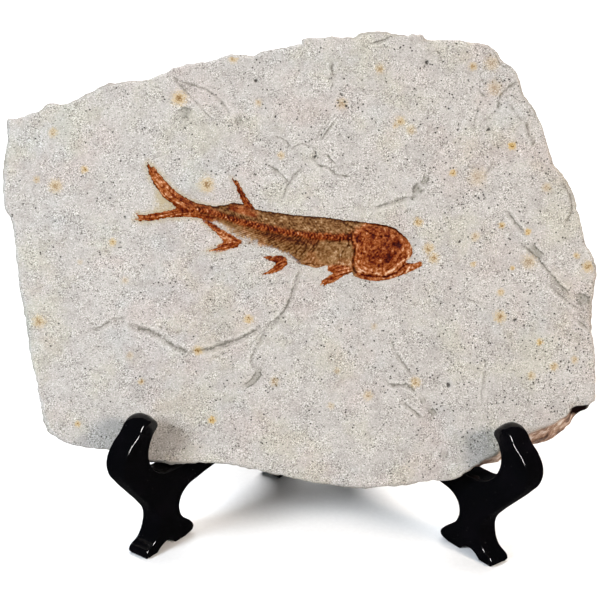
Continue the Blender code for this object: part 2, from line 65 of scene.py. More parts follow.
# Outline of the slab's face as four sides of (u, v, lip). The lip is how far the back
# edge stands out past the front edge there.
SLAB_BOTTOM = (
    (-65.5, 9.5, -0.5), (-62.5, 7.6, -0.8), (-57.5, 6.0, -1.0), (-50.0, 5.2, -1.0), (-42.0, 3.4, 0.0),
    (-37.5, 2.7, 0.8), (-29.0, 2.4, 0.7), (-22.0, 2.5, -0.6), (-16.0, 2.0, -0.8), (-8.0, 0.3, -1.0),
    (0.0, -1.2, -1.0), (8.0, -2.4, -1.0), (17.5, -3.2, -1.0), (28.0, -2.4, -1.0), (36.0, -1.1, -1.4),
    (43.0, -0.5, -2.2), (46.0, 1.6, -0.3), (49.4, 3.9, 0.8), (54.7, 7.1, 2.4), (60.0, 11.0, 3.6),
    (65.0, 13.5, 4.2), (69.0, 15.2, 3.6), (72.0, 17.2, 3.1), (74.3, 19.4, 2.4), (77.7, 20.2, 0.9),
    (79.8, 21.7, -0.4),
)
SLAB_RIGHT = (
    (79.8, 21.7, -0.5), (80.0, 26.0, -1.5), (79.3, 36.5, -1.5), (78.3, 41.5, -1.5), (78.6, 48.5, -1.5),
    (79.2, 56.0, -1.5), (78.2, 60.5, -1.2), (75.7, 64.5, -0.8), (74.2, 71.0, -0.8), (71.8, 77.7, -1.0),
    (68.9, 82.4, -1.0), (66.4, 85.5, -1.4), (64.0, 93.4, -1.4), (61.2, 98.7, -1.0), (58.4, 102.6, -0.6),
    (56.9, 107.0, -0.6), (55.2, 109.9, -0.4), (52.2, 111.6, -0.4), (50.0, 114.4, -0.6),
)
SLAB_TOP = (
    (-78.5, 92.5, -0.8), (-75.3, 92.8, -1.0), (-70.1, 94.7, -1.0), (-68.6, 96.0, -1.0),
    (-66.5, 96.7, -1.0), (-64.0, 96.6, -1.0), (-58.4, 99.0, -1.0), (-51.9, 102.1, -1.0),
    (-41.4, 104.2, -1.0), (-33.5, 107.7, -1.0), (-25.6, 109.2, -1.0), (-20.9, 111.2, -1.0),
    (-14.6, 110.9, -1.0), (-11.2, 112.3, -1.0), (-1.9, 114.2, -0.6), (-0.7, 115.8, -0.4),
    (6.0, 116.3, -0.4), (12.6, 116.5, 0.2), (14.4, 117.6, 0.4), (20.5, 118.1, 0.4), (23.2, 117.4, -0.4),
    (29.9, 117.9, -1.0), (32.6, 116.4, -1.0), (40.6, 116.6, -1.0), (47.0, 115.8, -0.8),
    (50.0, 114.4, -0.6),
)
SLAB_LEFT = (
    (-65.5, 9.5, -0.5), (-67.0, 12.7, -1.0), (-68.1, 17.5, -1.0), (-69.3, 23.3, -1.0),
    (-71.1, 31.2, -1.0), (-72.6, 39.1, -1.0), (-74.2, 47.0, -1.0), (-75.8, 58.9, -1.0),
    (-76.7, 65.4, -1.0), (-78.7, 69.3, -0.8), (-79.3, 73.3, -0.8), (-79.0, 81.2, -1.0),
    (-78.6, 89.0, -0.8), (-78.5, 92.5, -0.8),
)

# Broken edge, as (depth below the face, share of the lip that shows at that depth).
EDGE_LAYERS = (
    (0.12, 0.0), (0.45, 0.0), (0.9, 0.02), (1.5, 0.08), (2.1, 0.18), (2.7, 0.35), (3.3, 0.55),
    (3.9, 0.75), (4.5, 0.9), (5.1, 1.0), (5.7, 1.0), (6.3, 1.0), (6.9, 1.0), (7.3, 1.0),
)

EDGE_WANDER = 0.32                      # how far the edge wanders in and out
EDGE_CHIPS = 0.12
CORNER_WEAR = (0.35, 0.80)              # least and most that its front corner is worn
FACE_INSET = 0.25                       # from the worn corner to the flat face
BACK_INSET = 0.7
BED_WANDER = 0.55                       # how far single beds stand in and out
BED_CHIPS = 0.20
COLOURED_BEDS = (6.2, 7.2)              # depths between which the brown beds end

# Marks on the slab's face: (width, darkness, points). Ridges are stained lines that stand up a little,
# with a dark line along one side that is partly stain and partly painted shade; scrapes are smooth grey
# hollows.
RIDGES = (
    (0.9, 0.8, ((-55.6, 36.7), (-52.4, 37.8), (-50.0, 39.5), (-48.4, 40.2), (-45.6, 40.3))),
    (1.3, 1.0, ((-46.2, 39.6), (-42.7, 37.7), (-39.8, 37.1), (-37.0, 35.8), (-33.6, 33.6), (-30.4, 32.1),
        (-27.4, 31.8))),
    (1.2, 1.0, ((-29.0, 32.4), (-26.7, 32.3), (-23.5, 32.7), (-19.4, 34.4), (-15.6, 35.6), (-11.7, 37.9),
        (-9.3, 39.1))),
    (1.0, 1.0, ((-9.3, 39.1), (-5.4, 41.6), (-3.4, 44.5), (-2.1, 48.1), (-0.6, 52.9), (0.0, 55.0))),
    (0.9, 0.6, ((-3.8, 41.4), (-8.6, 38.4), (-9.7, 36.3), (-11.7, 32.6), (-12.2, 29.7), (-10.3, 27.7))),
    (0.6, 0.9, ((-9.9, 82.7), (-8.2, 81.2), (-6.4, 80.1), (-4.0, 77.7), (-3.1, 76.9))),
    (0.8, 0.8, ((0.5, 82.0), (-1.0, 80.7), (-2.3, 79.4), (-4.2, 76.4), (-5.5, 72.5))),
    (0.5, 0.9, ((-8.2, 89.6), (-6.1, 89.2), (-4.5, 88.1), (-3.4, 86.6))),
    (0.5, 0.9, ((-4.5, 86.8), (-3.4, 86.4), (-2.3, 87.3), (-0.8, 88.0), (1.0, 87.4), (3.4, 87.0))),
    (0.5, 0.8, ((2.1, 87.4), (2.8, 85.9), (3.3, 84.7))),
    (0.6, 1.0, ((1.1, 84.7), (2.4, 83.9), (4.0, 82.4), (6.0, 82.1), (7.6, 80.8), (9.2, 79.9),
        (13.0, 79.6))),
    (0.5, 1.0, ((4.6, 85.3), (6.1, 85.1), (6.8, 84.3), (8.2, 83.2), (8.9, 81.9))),
    (0.6, 0.9, ((4.3, 88.7), (5.8, 91.1), (7.2, 93.1), (8.2, 94.6), (8.9, 95.3))),
    (0.5, 0.6, ((2.7, 88.3), (3.6, 89.9), (4.2, 91.7), (5.0, 93.0), (6.1, 95.2), (7.1, 96.8))),
    (1.0, 0.9, ((6.4, 110.5), (6.5, 108.4), (6.8, 106.7), (7.7, 105.8))),
    (0.5, 0.8, ((7.3, 104.9), (7.0, 103.2), (6.4, 102.3))),
    (1.0, 0.9, ((31.2, 75.0), (28.4, 74.4), (25.9, 73.9), (22.0, 72.4), (18.5, 71.5))),
    (1.0, 1.0, ((53.2, 71.8), (55.0, 71.0), (56.8, 68.8), (58.5, 66.8), (60.2, 65.0))),
    (0.8, 0.8, ((57.8, 63.7), (59.9, 62.1), (62.6, 59.4))),
    (0.8, 0.9, ((62.6, 59.4), (65.7, 56.5), (68.6, 53.1), (70.7, 51.2), (72.4, 49.7))),
    (0.8, 0.9, ((65.5, 53.1), (68.6, 50.4), (72.2, 47.4), (76.4, 45.2))),
    (0.8, 0.9, ((56.7, 106.7), (53.5, 104.0), (51.8, 101.9), (51.4, 98.6), (49.7, 97.2))),
    (0.9, 0.7, ((53.2, 101.3), (55.3, 98.8), (57.1, 96.4), (58.9, 95.6))),
    (0.8, 1.0, ((58.7, 96.0), (59.7, 92.0), (60.9, 90.8), (60.4, 88.7))),
    (0.7, 1.0, ((49.5, 115.2), (50.8, 111.6), (52.5, 109.9), (54.1, 111.1))),
    (0.7, 0.8, ((45.8, 104.0), (47.0, 102.6), (48.5, 101.6))),
    (0.7, 0.5, ((46.7, 100.1), (45.6, 96.8), (45.1, 93.6), (45.7, 92.0))),
    (0.9, 0.6, ((51.0, 85.0), (48.0, 80.0))),
    (0.8, 0.8, ((68.7, 81.1), (69.8, 78.7), (71.6, 75.0), (71.7, 72.0), (69.8, 68.5))),
    (0.8, 1.0, ((64.5, 71.6), (65.7, 72.2))),
    (0.8, 0.9, ((74.0, 43.4), (76.5, 41.4), (77.8, 40.4))),
    (0.8, 0.7, ((24.0, 37.0), (27.0, 31.5), (31.0, 27.0))),
    (0.9, 1.0, ((23.0, 26.0), (25.0, 24.5), (29.0, 24.5), (31.8, 22.6))),
    (0.9, 1.0, ((27.0, 20.0), (30.0, 18.6), (33.5, 15.8))),
    (0.8, 0.5, ((50.5, 33.0), (50.0, 27.5), (49.5, 22.0), (50.0, 18.0))),
    (0.6, 0.9, ((44.3, 47.9), (46.5, 47.4), (48.9, 46.8))),
    (0.7, 0.7, ((-37.5, 105.5), (-32.0, 103.0), (-26.5, 101.5), (-22.0, 98.0), (-19.5, 94.0))),
    (0.6, 0.7, ((-36.0, 105.0), (-30.0, 99.0), (-24.0, 93.0))),
    (0.7, 1.0, ((16.0, 114.8), (19.3, 115.7), (22.9, 117.4))),
)
SCRAPES = (
    (1.3, 0.9, ((32.9, 81.0), (32.3, 79.0), (31.2, 77.6))),
    (2.1, 1.0, ((31.6, 77.8), (30.4, 76.6), (30.6, 75.2))),
    (1.2, 0.9, ((-8.0, 81.1), (-7.2, 80.4), (-6.6, 80.0))),
    (1.0, 0.7, ((-2.6, 79.2), (-2.0, 80.0))),
    (1.6, 1.0, ((60.9, 62.8), (62.4, 61.2), (64.8, 59.4))),
    (0.9, 0.5, ((66.4, 55.2), (68.6, 53.0), (71.6, 50.2))),
    (2.1, 0.9, ((73.6, 48.8), (75.8, 48.9), (76.6, 46.6))),
    (1.3, 0.9, ((-11.0, 28.3), (-10.4, 27.0), (-11.8, 24.6), (-14.6, 22.7))),
    (0.9, 0.9, ((-22.6, 34.2), (-20.0, 34.8))),
    (2.2, 0.8, ((-33.6, 94.4), (-31.6, 95.3), (-30.0, 94.9))),
    (1.5, 0.6, ((-32.4, 101.4), (-31.2, 100.6))),
    (1.0, 0.6, ((-18.4, 95.0), (-16.6, 92.6))),
    (1.0, 0.8, ((33.2, 21.4), (34.2, 19.6))),
    (1.3, 0.9, ((35.4, 18.8), (37.0, 16.4))),
    (1.7, 0.6, ((39.9, 7.6), (39.7, 5.2))),
    (1.3, 0.5, ((42.8, 12.6), (42.6, 11.2))),
    (0.9, 0.7, ((-60.6, 98.0), (-60.8, 96.0))),
)
# Rust spots as (u, v, radius, strength).
RUST_SPOTS = (
    (55.4, 89.1, 1.0, 1.6), (39.8, 81.5, 0.9, 1.2), (-22.5, 14.0, 0.9, 1.5), (-33.5, 99.0, 1.8, 0.9),
    (-19.5, 110.0, 1.1, 0.8), (-66.5, 89.0, 1.1, 0.7), (-58.0, 79.5, 0.9, 1.0), (-65.5, 75.0, 1.6, 0.7),
    (-70.5, 76.5, 0.8, 0.7), (-50.0, 60.5, 0.9, 1.0), (-58.5, 55.0, 0.7, 0.4), (-46.5, 50.5, 0.9, 0.4),
    (-25.5, 76.5, 1.9, 0.8), (-12.5, 98.5, 0.9, 0.6), (31.0, 68.1, 1.1, 1.0), (33.9, 61.2, 1.3, 0.8),
    (35.4, 58.7, 1.3, 0.8), (53.3, 67.9, 0.8, 1.2), (60.4, 66.4, 0.8, 1.3), (53.6, 50.1, 0.9, 0.9),
    (53.6, 43.5, 1.5, 0.8), (73.6, 60.4, 0.8, 1.0), (76.8, 57.5, 1.4, 0.9), (44.3, 109.8, 1.0, 0.8),
    (19.5, 108.4, 1.2, 0.6), (25.4, 94.8, 1.1, 0.8), (28.3, 92.5, 1.2, 0.5), (46.0, 57.4, 0.7, 0.9),
    (56.5, 56.6, 0.6, 1.2), (60.9, 58.4, 1.8, 0.5), (46.3, 64.8, 1.1, 0.6), (65.0, 78.2, 1.2, 0.5),
    (49.2, 110.8, 1.8, 0.4), (50.2, 104.3, 1.8, 0.4), (9.8, 99.0, 1.4, 0.5), (-6.0, 84.8, 0.9, 0.7),
    (-69.0, 39.0, 1.5, 0.7), (-58.0, 12.0, 0.8, 1.0), (-41.5, 23.7, 0.8, 0.8), (-44.7, 30.7, 0.9, 0.4),
    (-13.5, 41.1, 1.1, 1.0), (-26.7, 32.4, 1.1, 1.0), (-6.1, 24.6, 1.1, 0.5), (64.5, 37.0, 0.8, 1.2),
    (68.5, 30.5, 1.0, 0.8), (74.0, 32.5, 0.9, 0.7), (62.5, 28.0, 1.0, 0.6), (31.5, 25.5, 1.3, 0.8),
    (19.0, 21.5, 1.2, 0.6), (10.5, 28.0, 0.9, 0.4), (9.0, 18.5, 0.9, 0.5), (20.0, 40.0, 0.8, 0.4),
    (25.0, 54.5, 0.6, 0.4), (24.0, 93.6, 0.7, 0.6), (46.4, 80.6, 2.2, 0.35),
)
# Dark pits as (u, v, radius).
PITS = (
    (-47.0, 67.3, 0.5), (-44.6, 66.1, 0.4), (46.0, 75.5, 0.5), (47.0, 75.0, 0.6), (48.2, 75.9, 0.5),
    (48.8, 75.0, 0.4), (31.9, 110.6, 0.8), (42.1, 63.3, 0.6), (34.7, 63.8, 0.5), (36.6, 64.5, 0.5),
    (48.4, 65.9, 0.5), (49.0, 93.3, 0.7), (40.1, 50.7, 0.5), (57.8, 42.8, 0.6), (40.8, 93.0, 0.5),
    (39.7, 115.9, 0.5), (43.2, 106.1, 0.5), (38.2, 98.6, 0.5), (46.5, 47.5, 0.4), (30.0, 39.5, 0.4),
    (-23.5, 54.5, 0.6), (-36.2, 107.0, 0.9), (-75.0, 92.4, 0.7), (2.5, 84.5, 0.5), (30.5, 40.5, 0.4),
    (-71.5, 18.0, 0.5), (23.5, 22.5, 0.5), (11.0, 104.0, 0.5), (40.3, 24.9, 0.9), (42.6, 25.9, 0.4),
    (9.6, 101.2, 0.5), (8.6, 99.2, 0.5), (10.4, 99.6, 0.6), (10.8, 98.4, 0.5), (5.9, 93.4, 0.4),
    (4.4, 90.5, 0.5), (10.0, 105.6, 0.4), (-13.3, 104.3, 0.7), (-9.0, 100.3, 0.4), (-7.9, 95.0, 0.5),
    (4.0, 109.5, 0.4), (3.1, 84.9, 0.5), (57.4, 42.6, 0.5), (-41.9, 54.6, 0.5), (-46.4, 46.3, 0.4),
    (-34.4, 41.0, 0.4),
)

# Places where the top layer has come away, as (depth, outline).
FLAKES = (
    (0.25, ((11.5, 118.5), (12.5, 116.2), (16.0, 114.8), (19.5, 115.6), (22.9, 117.2), (24.0, 119.5),
        (17.0, 121.0))),
    (0.5, ((54.0, 113.5), (55.4, 110.5), (56.8, 108.6), (58.6, 106.0), (60.5, 103.5), (63.0, 107.0))),
    (0.4, ((59.8, 99.0), (59.6, 94.5), (61.4, 89.6), (67.0, 88.0), (67.0, 98.0))),
    (0.35, ((68.0, 84.5), (69.8, 79.5), (71.8, 75.0), (71.9, 72.0), (70.2, 68.4), (80.0, 66.0),
        (76.0, 84.0))),
    (0.4, ((76.2, 53.0), (77.4, 49.5), (77.2, 45.0), (84.0, 43.0), (84.0, 54.0))),
    (0.6, ((72.8, 20.5), (76.8, 21.8), (79.0, 19.0), (74.0, 17.0))),
)
# Places where the stone is full of small dark grains, as (u, v, radius, crowding).
PEPPER = (
    (70.2, 29.2, 7.0, 0.14), (43.0, 40.2, 3.5, 0.10), (46.2, 75.5, 3.0, 0.22), (45.6, 84.0, 2.5, 0.14),
    (-15.2, 104.4, 2.5, 0.20), (-24.3, 98.3, 1.5, 0.22), (9.4, 99.9, 2.2, 0.22), (4.2, 86.0, 5.0, 0.12),
    (45.3, 93.0, 3.5, 0.12), (47.6, 106.4, 3.0, 0.14), (27.0, 115.6, 3.0, 0.12), (30.4, 101.1, 3.0, 0.10),
    (51.0, 99.9, 2.5, 0.12), (76.5, 34.0, 4.0, 0.14), (25.0, 38.0, 5.0, 0.06), (26.0, 46.0, 5.0, 0.08),
    (55.0, 42.0, 9.0, 0.06), (40.0, 20.0, 8.0, 0.05),
)

# Fish, in the slab's (u, v).
FISH_STEP = 0.15                        # grid of its mesh
FISH_BOX = ((-46.5, 33.6), (49.6, 82.8))
FILM_EDGE = 0.03                        # thickness at its outline
FILM_ROOT = 0.35                        # how deep its underside lies in the stone
TRUNK = (
    (-33.4, 70.3), (-31.7, 72.4), (-28.4, 71.6), (-25.7, 71.1), (-23.0, 70.8), (-20.3, 71.3),
    (-18.2, 71.8), (-15.4, 71.4), (-13.3, 70.5), (-10.5, 70.0), (-5.1, 69.4), (0.3, 68.9), (5.8, 68.7),
    (11.2, 68.1), (16.7, 67.7), (22.1, 67.1), (24.9, 66.2), (27.7, 64.0), (29.2, 62.0), (29.6, 60.0),
    (28.9, 58.4), (27.9, 57.4), (30.1, 57.1), (31.6, 57.7), (32.3, 57.3), (32.1, 56.4), (30.1, 55.3),
    (28.0, 54.3), (25.3, 53.2), (22.6, 52.5), (19.9, 52.1), (17.1, 52.4), (14.4, 53.2), (13.2, 54.6),
    (10.0, 55.2), (6.7, 55.8), (4.0, 55.2), (0.7, 56.0), (-2.0, 56.7), (-3.7, 57.6), (-7.5, 58.9),
    (-10.3, 59.9), (-13.5, 60.9), (-16.4, 61.2), (-18.5, 61.9), (-21.0, 64.0), (-24.0, 66.4),
    (-27.8, 67.6), (-32.1, 67.8), (-34.5, 68.2),
)
TAIL_UPPER = (
    (-41.3, 81.9), (-39.8, 80.8), (-38.3, 79.2), (-36.9, 77.5), (-35.3, 75.9), (-34.0, 74.7),
    (-32.7, 73.7), (-30.9, 72.8), (-28.0, 71.6), (-29.5, 69.4), (-32.9, 69.7), (-35.0, 71.4),
    (-36.8, 72.6), (-38.4, 74.6), (-39.5, 76.1), (-40.5, 77.9), (-41.4, 79.5), (-41.8, 80.8),
)
TAIL_LOWER = (
    (-44.1, 68.3), (-41.3, 68.2), (-38.9, 68.6), (-36.2, 69.2), (-33.6, 69.9), (-29.0, 69.6),
    (-28.0, 68.0), (-32.1, 67.6), (-34.8, 67.4), (-37.5, 66.9), (-40.2, 66.3), (-43.0, 66.1),
    (-44.5, 66.6), (-43.6, 67.1),
)
DORSAL = (
    (-19.1, 78.6), (-17.5, 77.8), (-16.4, 76.3), (-15.1, 74.0), (-13.8, 72.0), (-12.4, 70.2),
    (-14.6, 70.2), (-16.0, 71.7), (-17.1, 74.1), (-18.0, 76.0), (-18.9, 77.6),
)
ANAL = (
    (-26.9, 67.6), (-24.5, 66.9), (-22.3, 65.5), (-20.4, 64.2), (-17.9, 63.0), (-15.6, 61.7),
    (-16.9, 60.2), (-20.0, 59.0), (-22.4, 58.6), (-25.4, 58.8), (-22.9, 60.1), (-20.9, 61.2),
    (-21.4, 62.3), (-23.1, 63.8), (-24.9, 65.3), (-26.4, 66.6),
)
PELVIC = (
    (-3.4, 57.4), (-4.0, 58.1), (-5.6, 58.4), (-8.0, 58.2), (-10.3, 57.9), (-9.2, 57.1), (-7.8, 56.5),
    (-6.8, 55.9), (-7.8, 54.9), (-9.2, 53.9), (-10.5, 52.9), (-8.4, 53.1), (-6.3, 53.7), (-4.4, 54.8),
    (-3.5, 56.2),
)
PECTORAL = (
    (14.0, 54.3), (11.7, 53.4), (9.6, 51.9), (6.9, 50.5), (5.2, 50.4), (5.6, 51.8), (7.1, 52.9),
    (8.5, 53.9), (7.2, 54.5), (7.0, 55.6), (8.4, 56.2), (10.5, 56.4), (12.4, 56.0), (14.2, 55.8),
)
# Fins, as (outline, line that the rays follow).
FISH_FINS = (
    (TAIL_UPPER, ((-30.0, 70.2), (-35.2, 73.2), (-38.8, 77.2), (-41.6, 81.6))),
    (TAIL_LOWER, ((-28.5, 69.0), (-33.0, 68.6), (-39.0, 67.3), (-44.4, 67.2))),
    (DORSAL, ((-13.4, 70.0), (-15.4, 72.8), (-18.6, 78.2))),
    (ANAL, ((-26.6, 67.2), (-22.6, 64.4), (-17.0, 61.6), (-20.4, 60.2), (-25.2, 58.9))),
    (PELVIC, ((-3.4, 57.2), (-6.5, 55.4), (-10.4, 53.0))),
    (PECTORAL, ((13.8, 55.0), (9.5, 53.6), (5.3, 50.7))),
)
SPINE = (
    (-34.0, 69.4), (-31.0, 69.6), (-27.8, 69.7), (-24.0, 69.0), (-20.2, 68.0), (-15.9, 66.8),
    (-10.4, 65.6), (-6.0, 64.7), (-2.2, 64.2), (3.2, 63.7), (8.7, 63.4), (13.5, 63.6),
)
SPINE_HALF_WIDTH = 1.0
BONE_PITCH = 0.85                       # from one backbone bone to the next
HEAD = (
    (17.2, 68.4), (15.8, 66.6), (13.6, 65.6), (13.0, 64.5), (13.8, 60.0), (14.0, 57.0), (14.4, 54.6),
    (16.4, 52.0), (22.6, 51.8), (28.3, 53.8), (33.0, 57.0), (30.4, 58.6), (30.2, 61.0), (28.0, 65.0),
    (25.0, 67.0), (19.0, 68.2),
)
HEAD_CENTRE = (21.6, 60.2)
HEAD_REACH = (9.2, 7.6)
CHEEK_CENTRE = (21.0, 61.0)
# Dark patches of the skull, as (u, v, radius, darkness): the eye, the cheek and the neck.
HEAD_PATCHES = (
    (25.3, 62.0, 1.3, 0.46), (21.8, 60.6, 2.4, 0.16), (24.0, 58.6, 1.6, 0.16), (19.0, 57.4, 1.7, 0.15),
    (21.6, 56.4, 1.2, 0.20), (15.6, 63.6, 1.6, 0.22),
)
# Lines of the skull and shoulder, as (change in tone, half width, points): the gill
# cover, its pale rim, the pale lip, the mouth, the socket of the eye and the shoulder.
HEAD_LINES = (
    (-0.60, 0.27, ((12.9, 64.5), (13.3, 62.9), (13.7, 61.8), (14.3, 60.5), (13.9, 58.6), (13.8, 56.4),
        (14.2, 54.8), (15.4, 53.9), (17.9, 53.5), (20.1, 53.3), (22.6, 53.4), (24.6, 54.2))),
    (0.30, 0.22, ((14.6, 60.6), (14.5, 57.6), (14.9, 55.9), (16.1, 54.8), (18.4, 54.3), (20.6, 54.1))),
    (0.32, 0.26, ((22.8, 54.3), (24.4, 55.3), (25.7, 56.5), (27.0, 57.7), (28.9, 58.5))),
    (-0.42, 0.25, ((24.4, 53.9), (25.8, 54.9), (27.1, 56.2), (28.4, 57.0), (29.9, 57.2))),
    (0.24, 0.25, ((26.4, 63.4), (27.0, 62.0), (26.8, 60.6), (25.6, 59.3), (24.0, 59.2))),
    (0.26, 0.45, ((27.0, 64.6), (28.3, 63.2), (29.0, 61.6), (28.5, 59.8))),
    (-0.38, 0.24, ((16.0, 66.6), (18.0, 64.8), (20.5, 64.0), (23.0, 64.2))),
    (-0.42, 0.20, ((10.2, 63.0), (10.0, 60.6), (10.1, 58.5), (10.4, 56.6))),
    (-0.55, 0.26, ((12.3, 64.4), (12.5, 62.6), (12.6, 61.4))),
    (-0.34, 0.17, ((12.4, 61.6), (11.2, 60.1), (10.7, 58.4), (10.8, 57.0))),
    (0.26, 0.22, ((10.9, 60.6), (10.5, 59.6), (10.6, 57.8), (11.4, 56.4))),
    (-0.40, 0.17, ((6.7, 60.6), (6.9, 61.6), (7.9, 62.3), (9.6, 62.6))),
    (-0.34, 0.18, ((2.4, 62.9), (1.4, 61.5), (0.7, 59.3))),
    (-0.28, 0.18, ((4.6, 62.6), (3.5, 61.0), (2.7, 58.6))),
    (-0.30, 0.20, ((-2.9, 58.4), (-0.7, 56.9), (1.0, 56.2), (2.6, 56.3), (4.5, 56.0), (6.4, 56.2))),
)

# Stand. Its outline, hinge and angles are those of its CAD solids.
HINGE = (7.2, 33.0)
PANEL_ANGLE = math.radians(39)
PANEL_THICKNESS = 6.5
PANEL_ROUNDING = 0.6
HOOK_CORE = (79.0, 37.0)
HOOK_REACH = 10.0                       # of the hook, from its core towards the hinge
HOOK_CROWN = (39.5, 43.5, 0.2)          # from this height to this, sides pulled in so much
CORNER = "corner"
# Panel seen from the side: (distance from the pin, height), clockwise from the hook.
HOOK = (
    (74.0, 40.3), (75.3, 42.6), (77.9, 43.3), (80.6, 41.9), (82.4, 39.3), (85.4, 37.0), (87.7, 33.2),
    (87.2, 28.9), (84.4, 25.0), (79.3, 19.4), (75.0, 14.7),
)
FRONT_FOOT = (
    (72.6, 11.3), (72.3, 8.1), (73.9, 4.2), (77.9, 1.2), (77.2, 0.0, CORNER), (73.0, 0.0, CORNER),
    (70.9, 1.5), (68.4, 2.0), (66.4, 1.3), (65.2, 0.0, CORNER), (61.0, 0.0, CORNER), (57.6, 1.5),
    (58.8, 3.9), (61.6, 6.1), (63.6, 9.1), (63.8, 12.5),
)
ARCH = ((61.6, 15.3), (56.0, 16.7), (48.9, 17.6), (41.0, 18.1), (33.0, 17.9), (26.6, 16.7))
REAR_FOOT = (
    (22.2, 14.0), (20.0, 10.2), (19.2, 6.8), (20.3, 4.0), (20.4, 1.6), (18.6, 0.0, CORNER),
    (9.8, 0.0, CORNER), (7.4, 1.7), (7.9, 4.7), (9.4, 8.6), (9.7, 13.4), (8.7, 18.8),
)
HINGE_EDGE = ((7.5, 24.4, CORNER), (7.5, 61.0, CORNER))
UPRIGHT = (
    (10.4, 65.2), (14.4, 69.2), (16.8, 74.4), (18.7, 79.0), (21.6, 82.4), (25.0, 83.6), (28.1, 82.2),
    (30.4, 79.2), (31.8, 75.6), (30.8, 69.6), (28.4, 61.6), (27.1, 52.0), (27.4, 42.0), (29.4, 34.0),
    (33.6, 28.2),
)
SEAT = (
    (40.5, 25.2), (50.0, 24.0), (60.0, 23.7), (67.0, 23.7), (71.2, 24.3), (74.6, 26.3), (76.9, 29.5),
    (77.6, 33.4), (76.2, 37.4),
)
PANEL_OUTLINE = HOOK + FRONT_FOOT + ARCH + REAR_FOOT + HINGE_EDGE + UPRIGHT + SEAT
KNUCKLE_RADIUS = 4.2
KNUCKLE_ROUNDING = 0.5
ARM_THICKNESS = 4.4
ARM_REACH = 10.0
BORE_RADIUS = 1.9
BORE_LENGTH = 60.0
BORE_MIDDLE = 43.0
ROUND_SIDES = 64
WELD = 0.00001                          # points nearer than this are one, in metres
LEFT_KNUCKLES = ((26.4, 35.0), (51.0, 59.4))
RIGHT_KNUCKLES = ((35.3, 50.7),)
PIN_PROFILE = (
    (0.0, 61.9), (0.9, 61.82), (1.7, 61.5), (2.35, 61.0), (2.75, 60.3), (2.9, 59.7), (1.6, 59.7),
    (1.6, 26.1), (2.6, 26.1), (2.6, 25.4), (2.3, 24.9), (1.7, 24.6), (0.0, 24.6),
)

# Camera, fitted to the photograph's outlines.
CAMERA_TARGET = (2.9, 52.3, 39.1)
CAMERA_DISTANCE = 783.0
CAMERA_ELEVATION = math.radians(26)
CAMERA_YAW = math.radians(3.18)
CAMERA_ROLL = math.radians(2.95)
CAMERA_LENS = 162.0

# Studio, in metres and watts. Lamps are (name, place, aim, width, height, power, colour).
FLOOR_REACH = 3.0
SKY_STRENGTH = 0.02
SLAB_MIDDLE = (0.0, 0.0, 0.05)
LAMPS = (
    ("lamp_left", (-0.55, -0.43, 0.42), SLAB_MIDDLE, 0.2, 0.2, 9.3, (0.85, 0.925, 1.0)),
    ("lamp_right", (0.55, -0.43, 0.42), SLAB_MIDDLE, 0.2, 0.2, 6.2, (1.0, 0.88, 0.77)),
    ("lamp_back", (0.0, 0.5, 0.8), (0.0, 0.3, 0.0), 0.8, 0.8, 16.5, (1.0, 0.99, 0.99)),
)
STRIP = ("strip_front", (0.09, -0.53, 0.65), SLAB_MIDDLE, 0.14, 0.5, 28.0, (1.0, 0.98, 0.97))
LAMP_LEVEL = 1.8                        # how bright they make a white matt surface look


# -------------------------------------------------------------------------- number tools

LATTICE_SIZE = 256
LATTICE = np.random.default_rng(11).random((LATTICE_SIZE, LATTICE_SIZE))


def value_noise(x, y, layer=0):
    """Smooth noise from -1 to 1, with about one bump to a unit."""
    x = x + 31.7 * layer
    y = y + 57.3 * layer
    column, row = np.floor(x).astype(int), np.floor(y).astype(int)
    across, upward = x - column, y - row
    across = across * across * (3 - 2 * across)
    upward = upward * upward * (3 - 2 * upward)

    def corner(right, up):
        return LATTICE[(column + right) % LATTICE_SIZE, (row + up) % LATTICE_SIZE]

    low = corner(0, 0) * (1 - across) + corner(1, 0) * across
    high = corner(0, 1) * (1 - across) + corner(1, 1) * across
    return (low * (1 - upward) + high * upward) * 2 - 1


def fractal(x, y, layer=0, octaves=4):
    """Noise with detail at several sizes, about -1 to 1."""
    total = 0.0
    for octave in range(octaves):
        size = 2.0 ** octave
        total = total + value_noise(x * size, y * size, layer + octave) / size
    return total / 1.5


def blotches(u, v, size, layer, octaves=2):
    """Noise over the slab's face, in blotches of about this size."""
    return fractal(u / size, v / size, layer, octaves)


def ramp(value, low, high):
    """0 below low, 1 above high, and a smooth step between."""
    share = np.clip((value - low) / (high - low), 0.0, 1.0)
    return share * share * (3 - 2 * share)


def patch(value, start, full, fall, end):
    """0 outside start and end, 1 from full to fall, and smooth steps between."""
    return ramp(value, start, full) * (1 - ramp(value, fall, end))


def bell(distance, width):
    """1 at no distance, falling away smoothly over about this width."""
    return np.exp(-(distance / width) ** 2)


def smooth_line(points, closed=False, steps=5):
    """A smooth line through given points."""
    knots = np.array(points, float)
    if closed:
        start, before = knots, np.roll(knots, 1, 0)
        end, after = np.roll(knots, -1, 0), np.roll(knots, -2, 0)
    else:
        start, end = knots[:-1], knots[1:]
        before = np.vstack((2 * knots[0] - knots[1], knots[:-2]))
        after = np.vstack((knots[2:], 2 * knots[-1] - knots[-2]))
    t = np.linspace(0, 1, steps, endpoint=False)[:, None, None]
    line = 0.5 * (2 * start + (end - before) * t
                  + (2 * before - 5 * start + 4 * end - after) * t ** 2
                  + (3 * start - before - 3 * end + after) * t ** 3)
    line = line.transpose(1, 0, 2).reshape(-1, knots.shape[1])
    return line if closed else np.vstack((line, knots[-1:]))


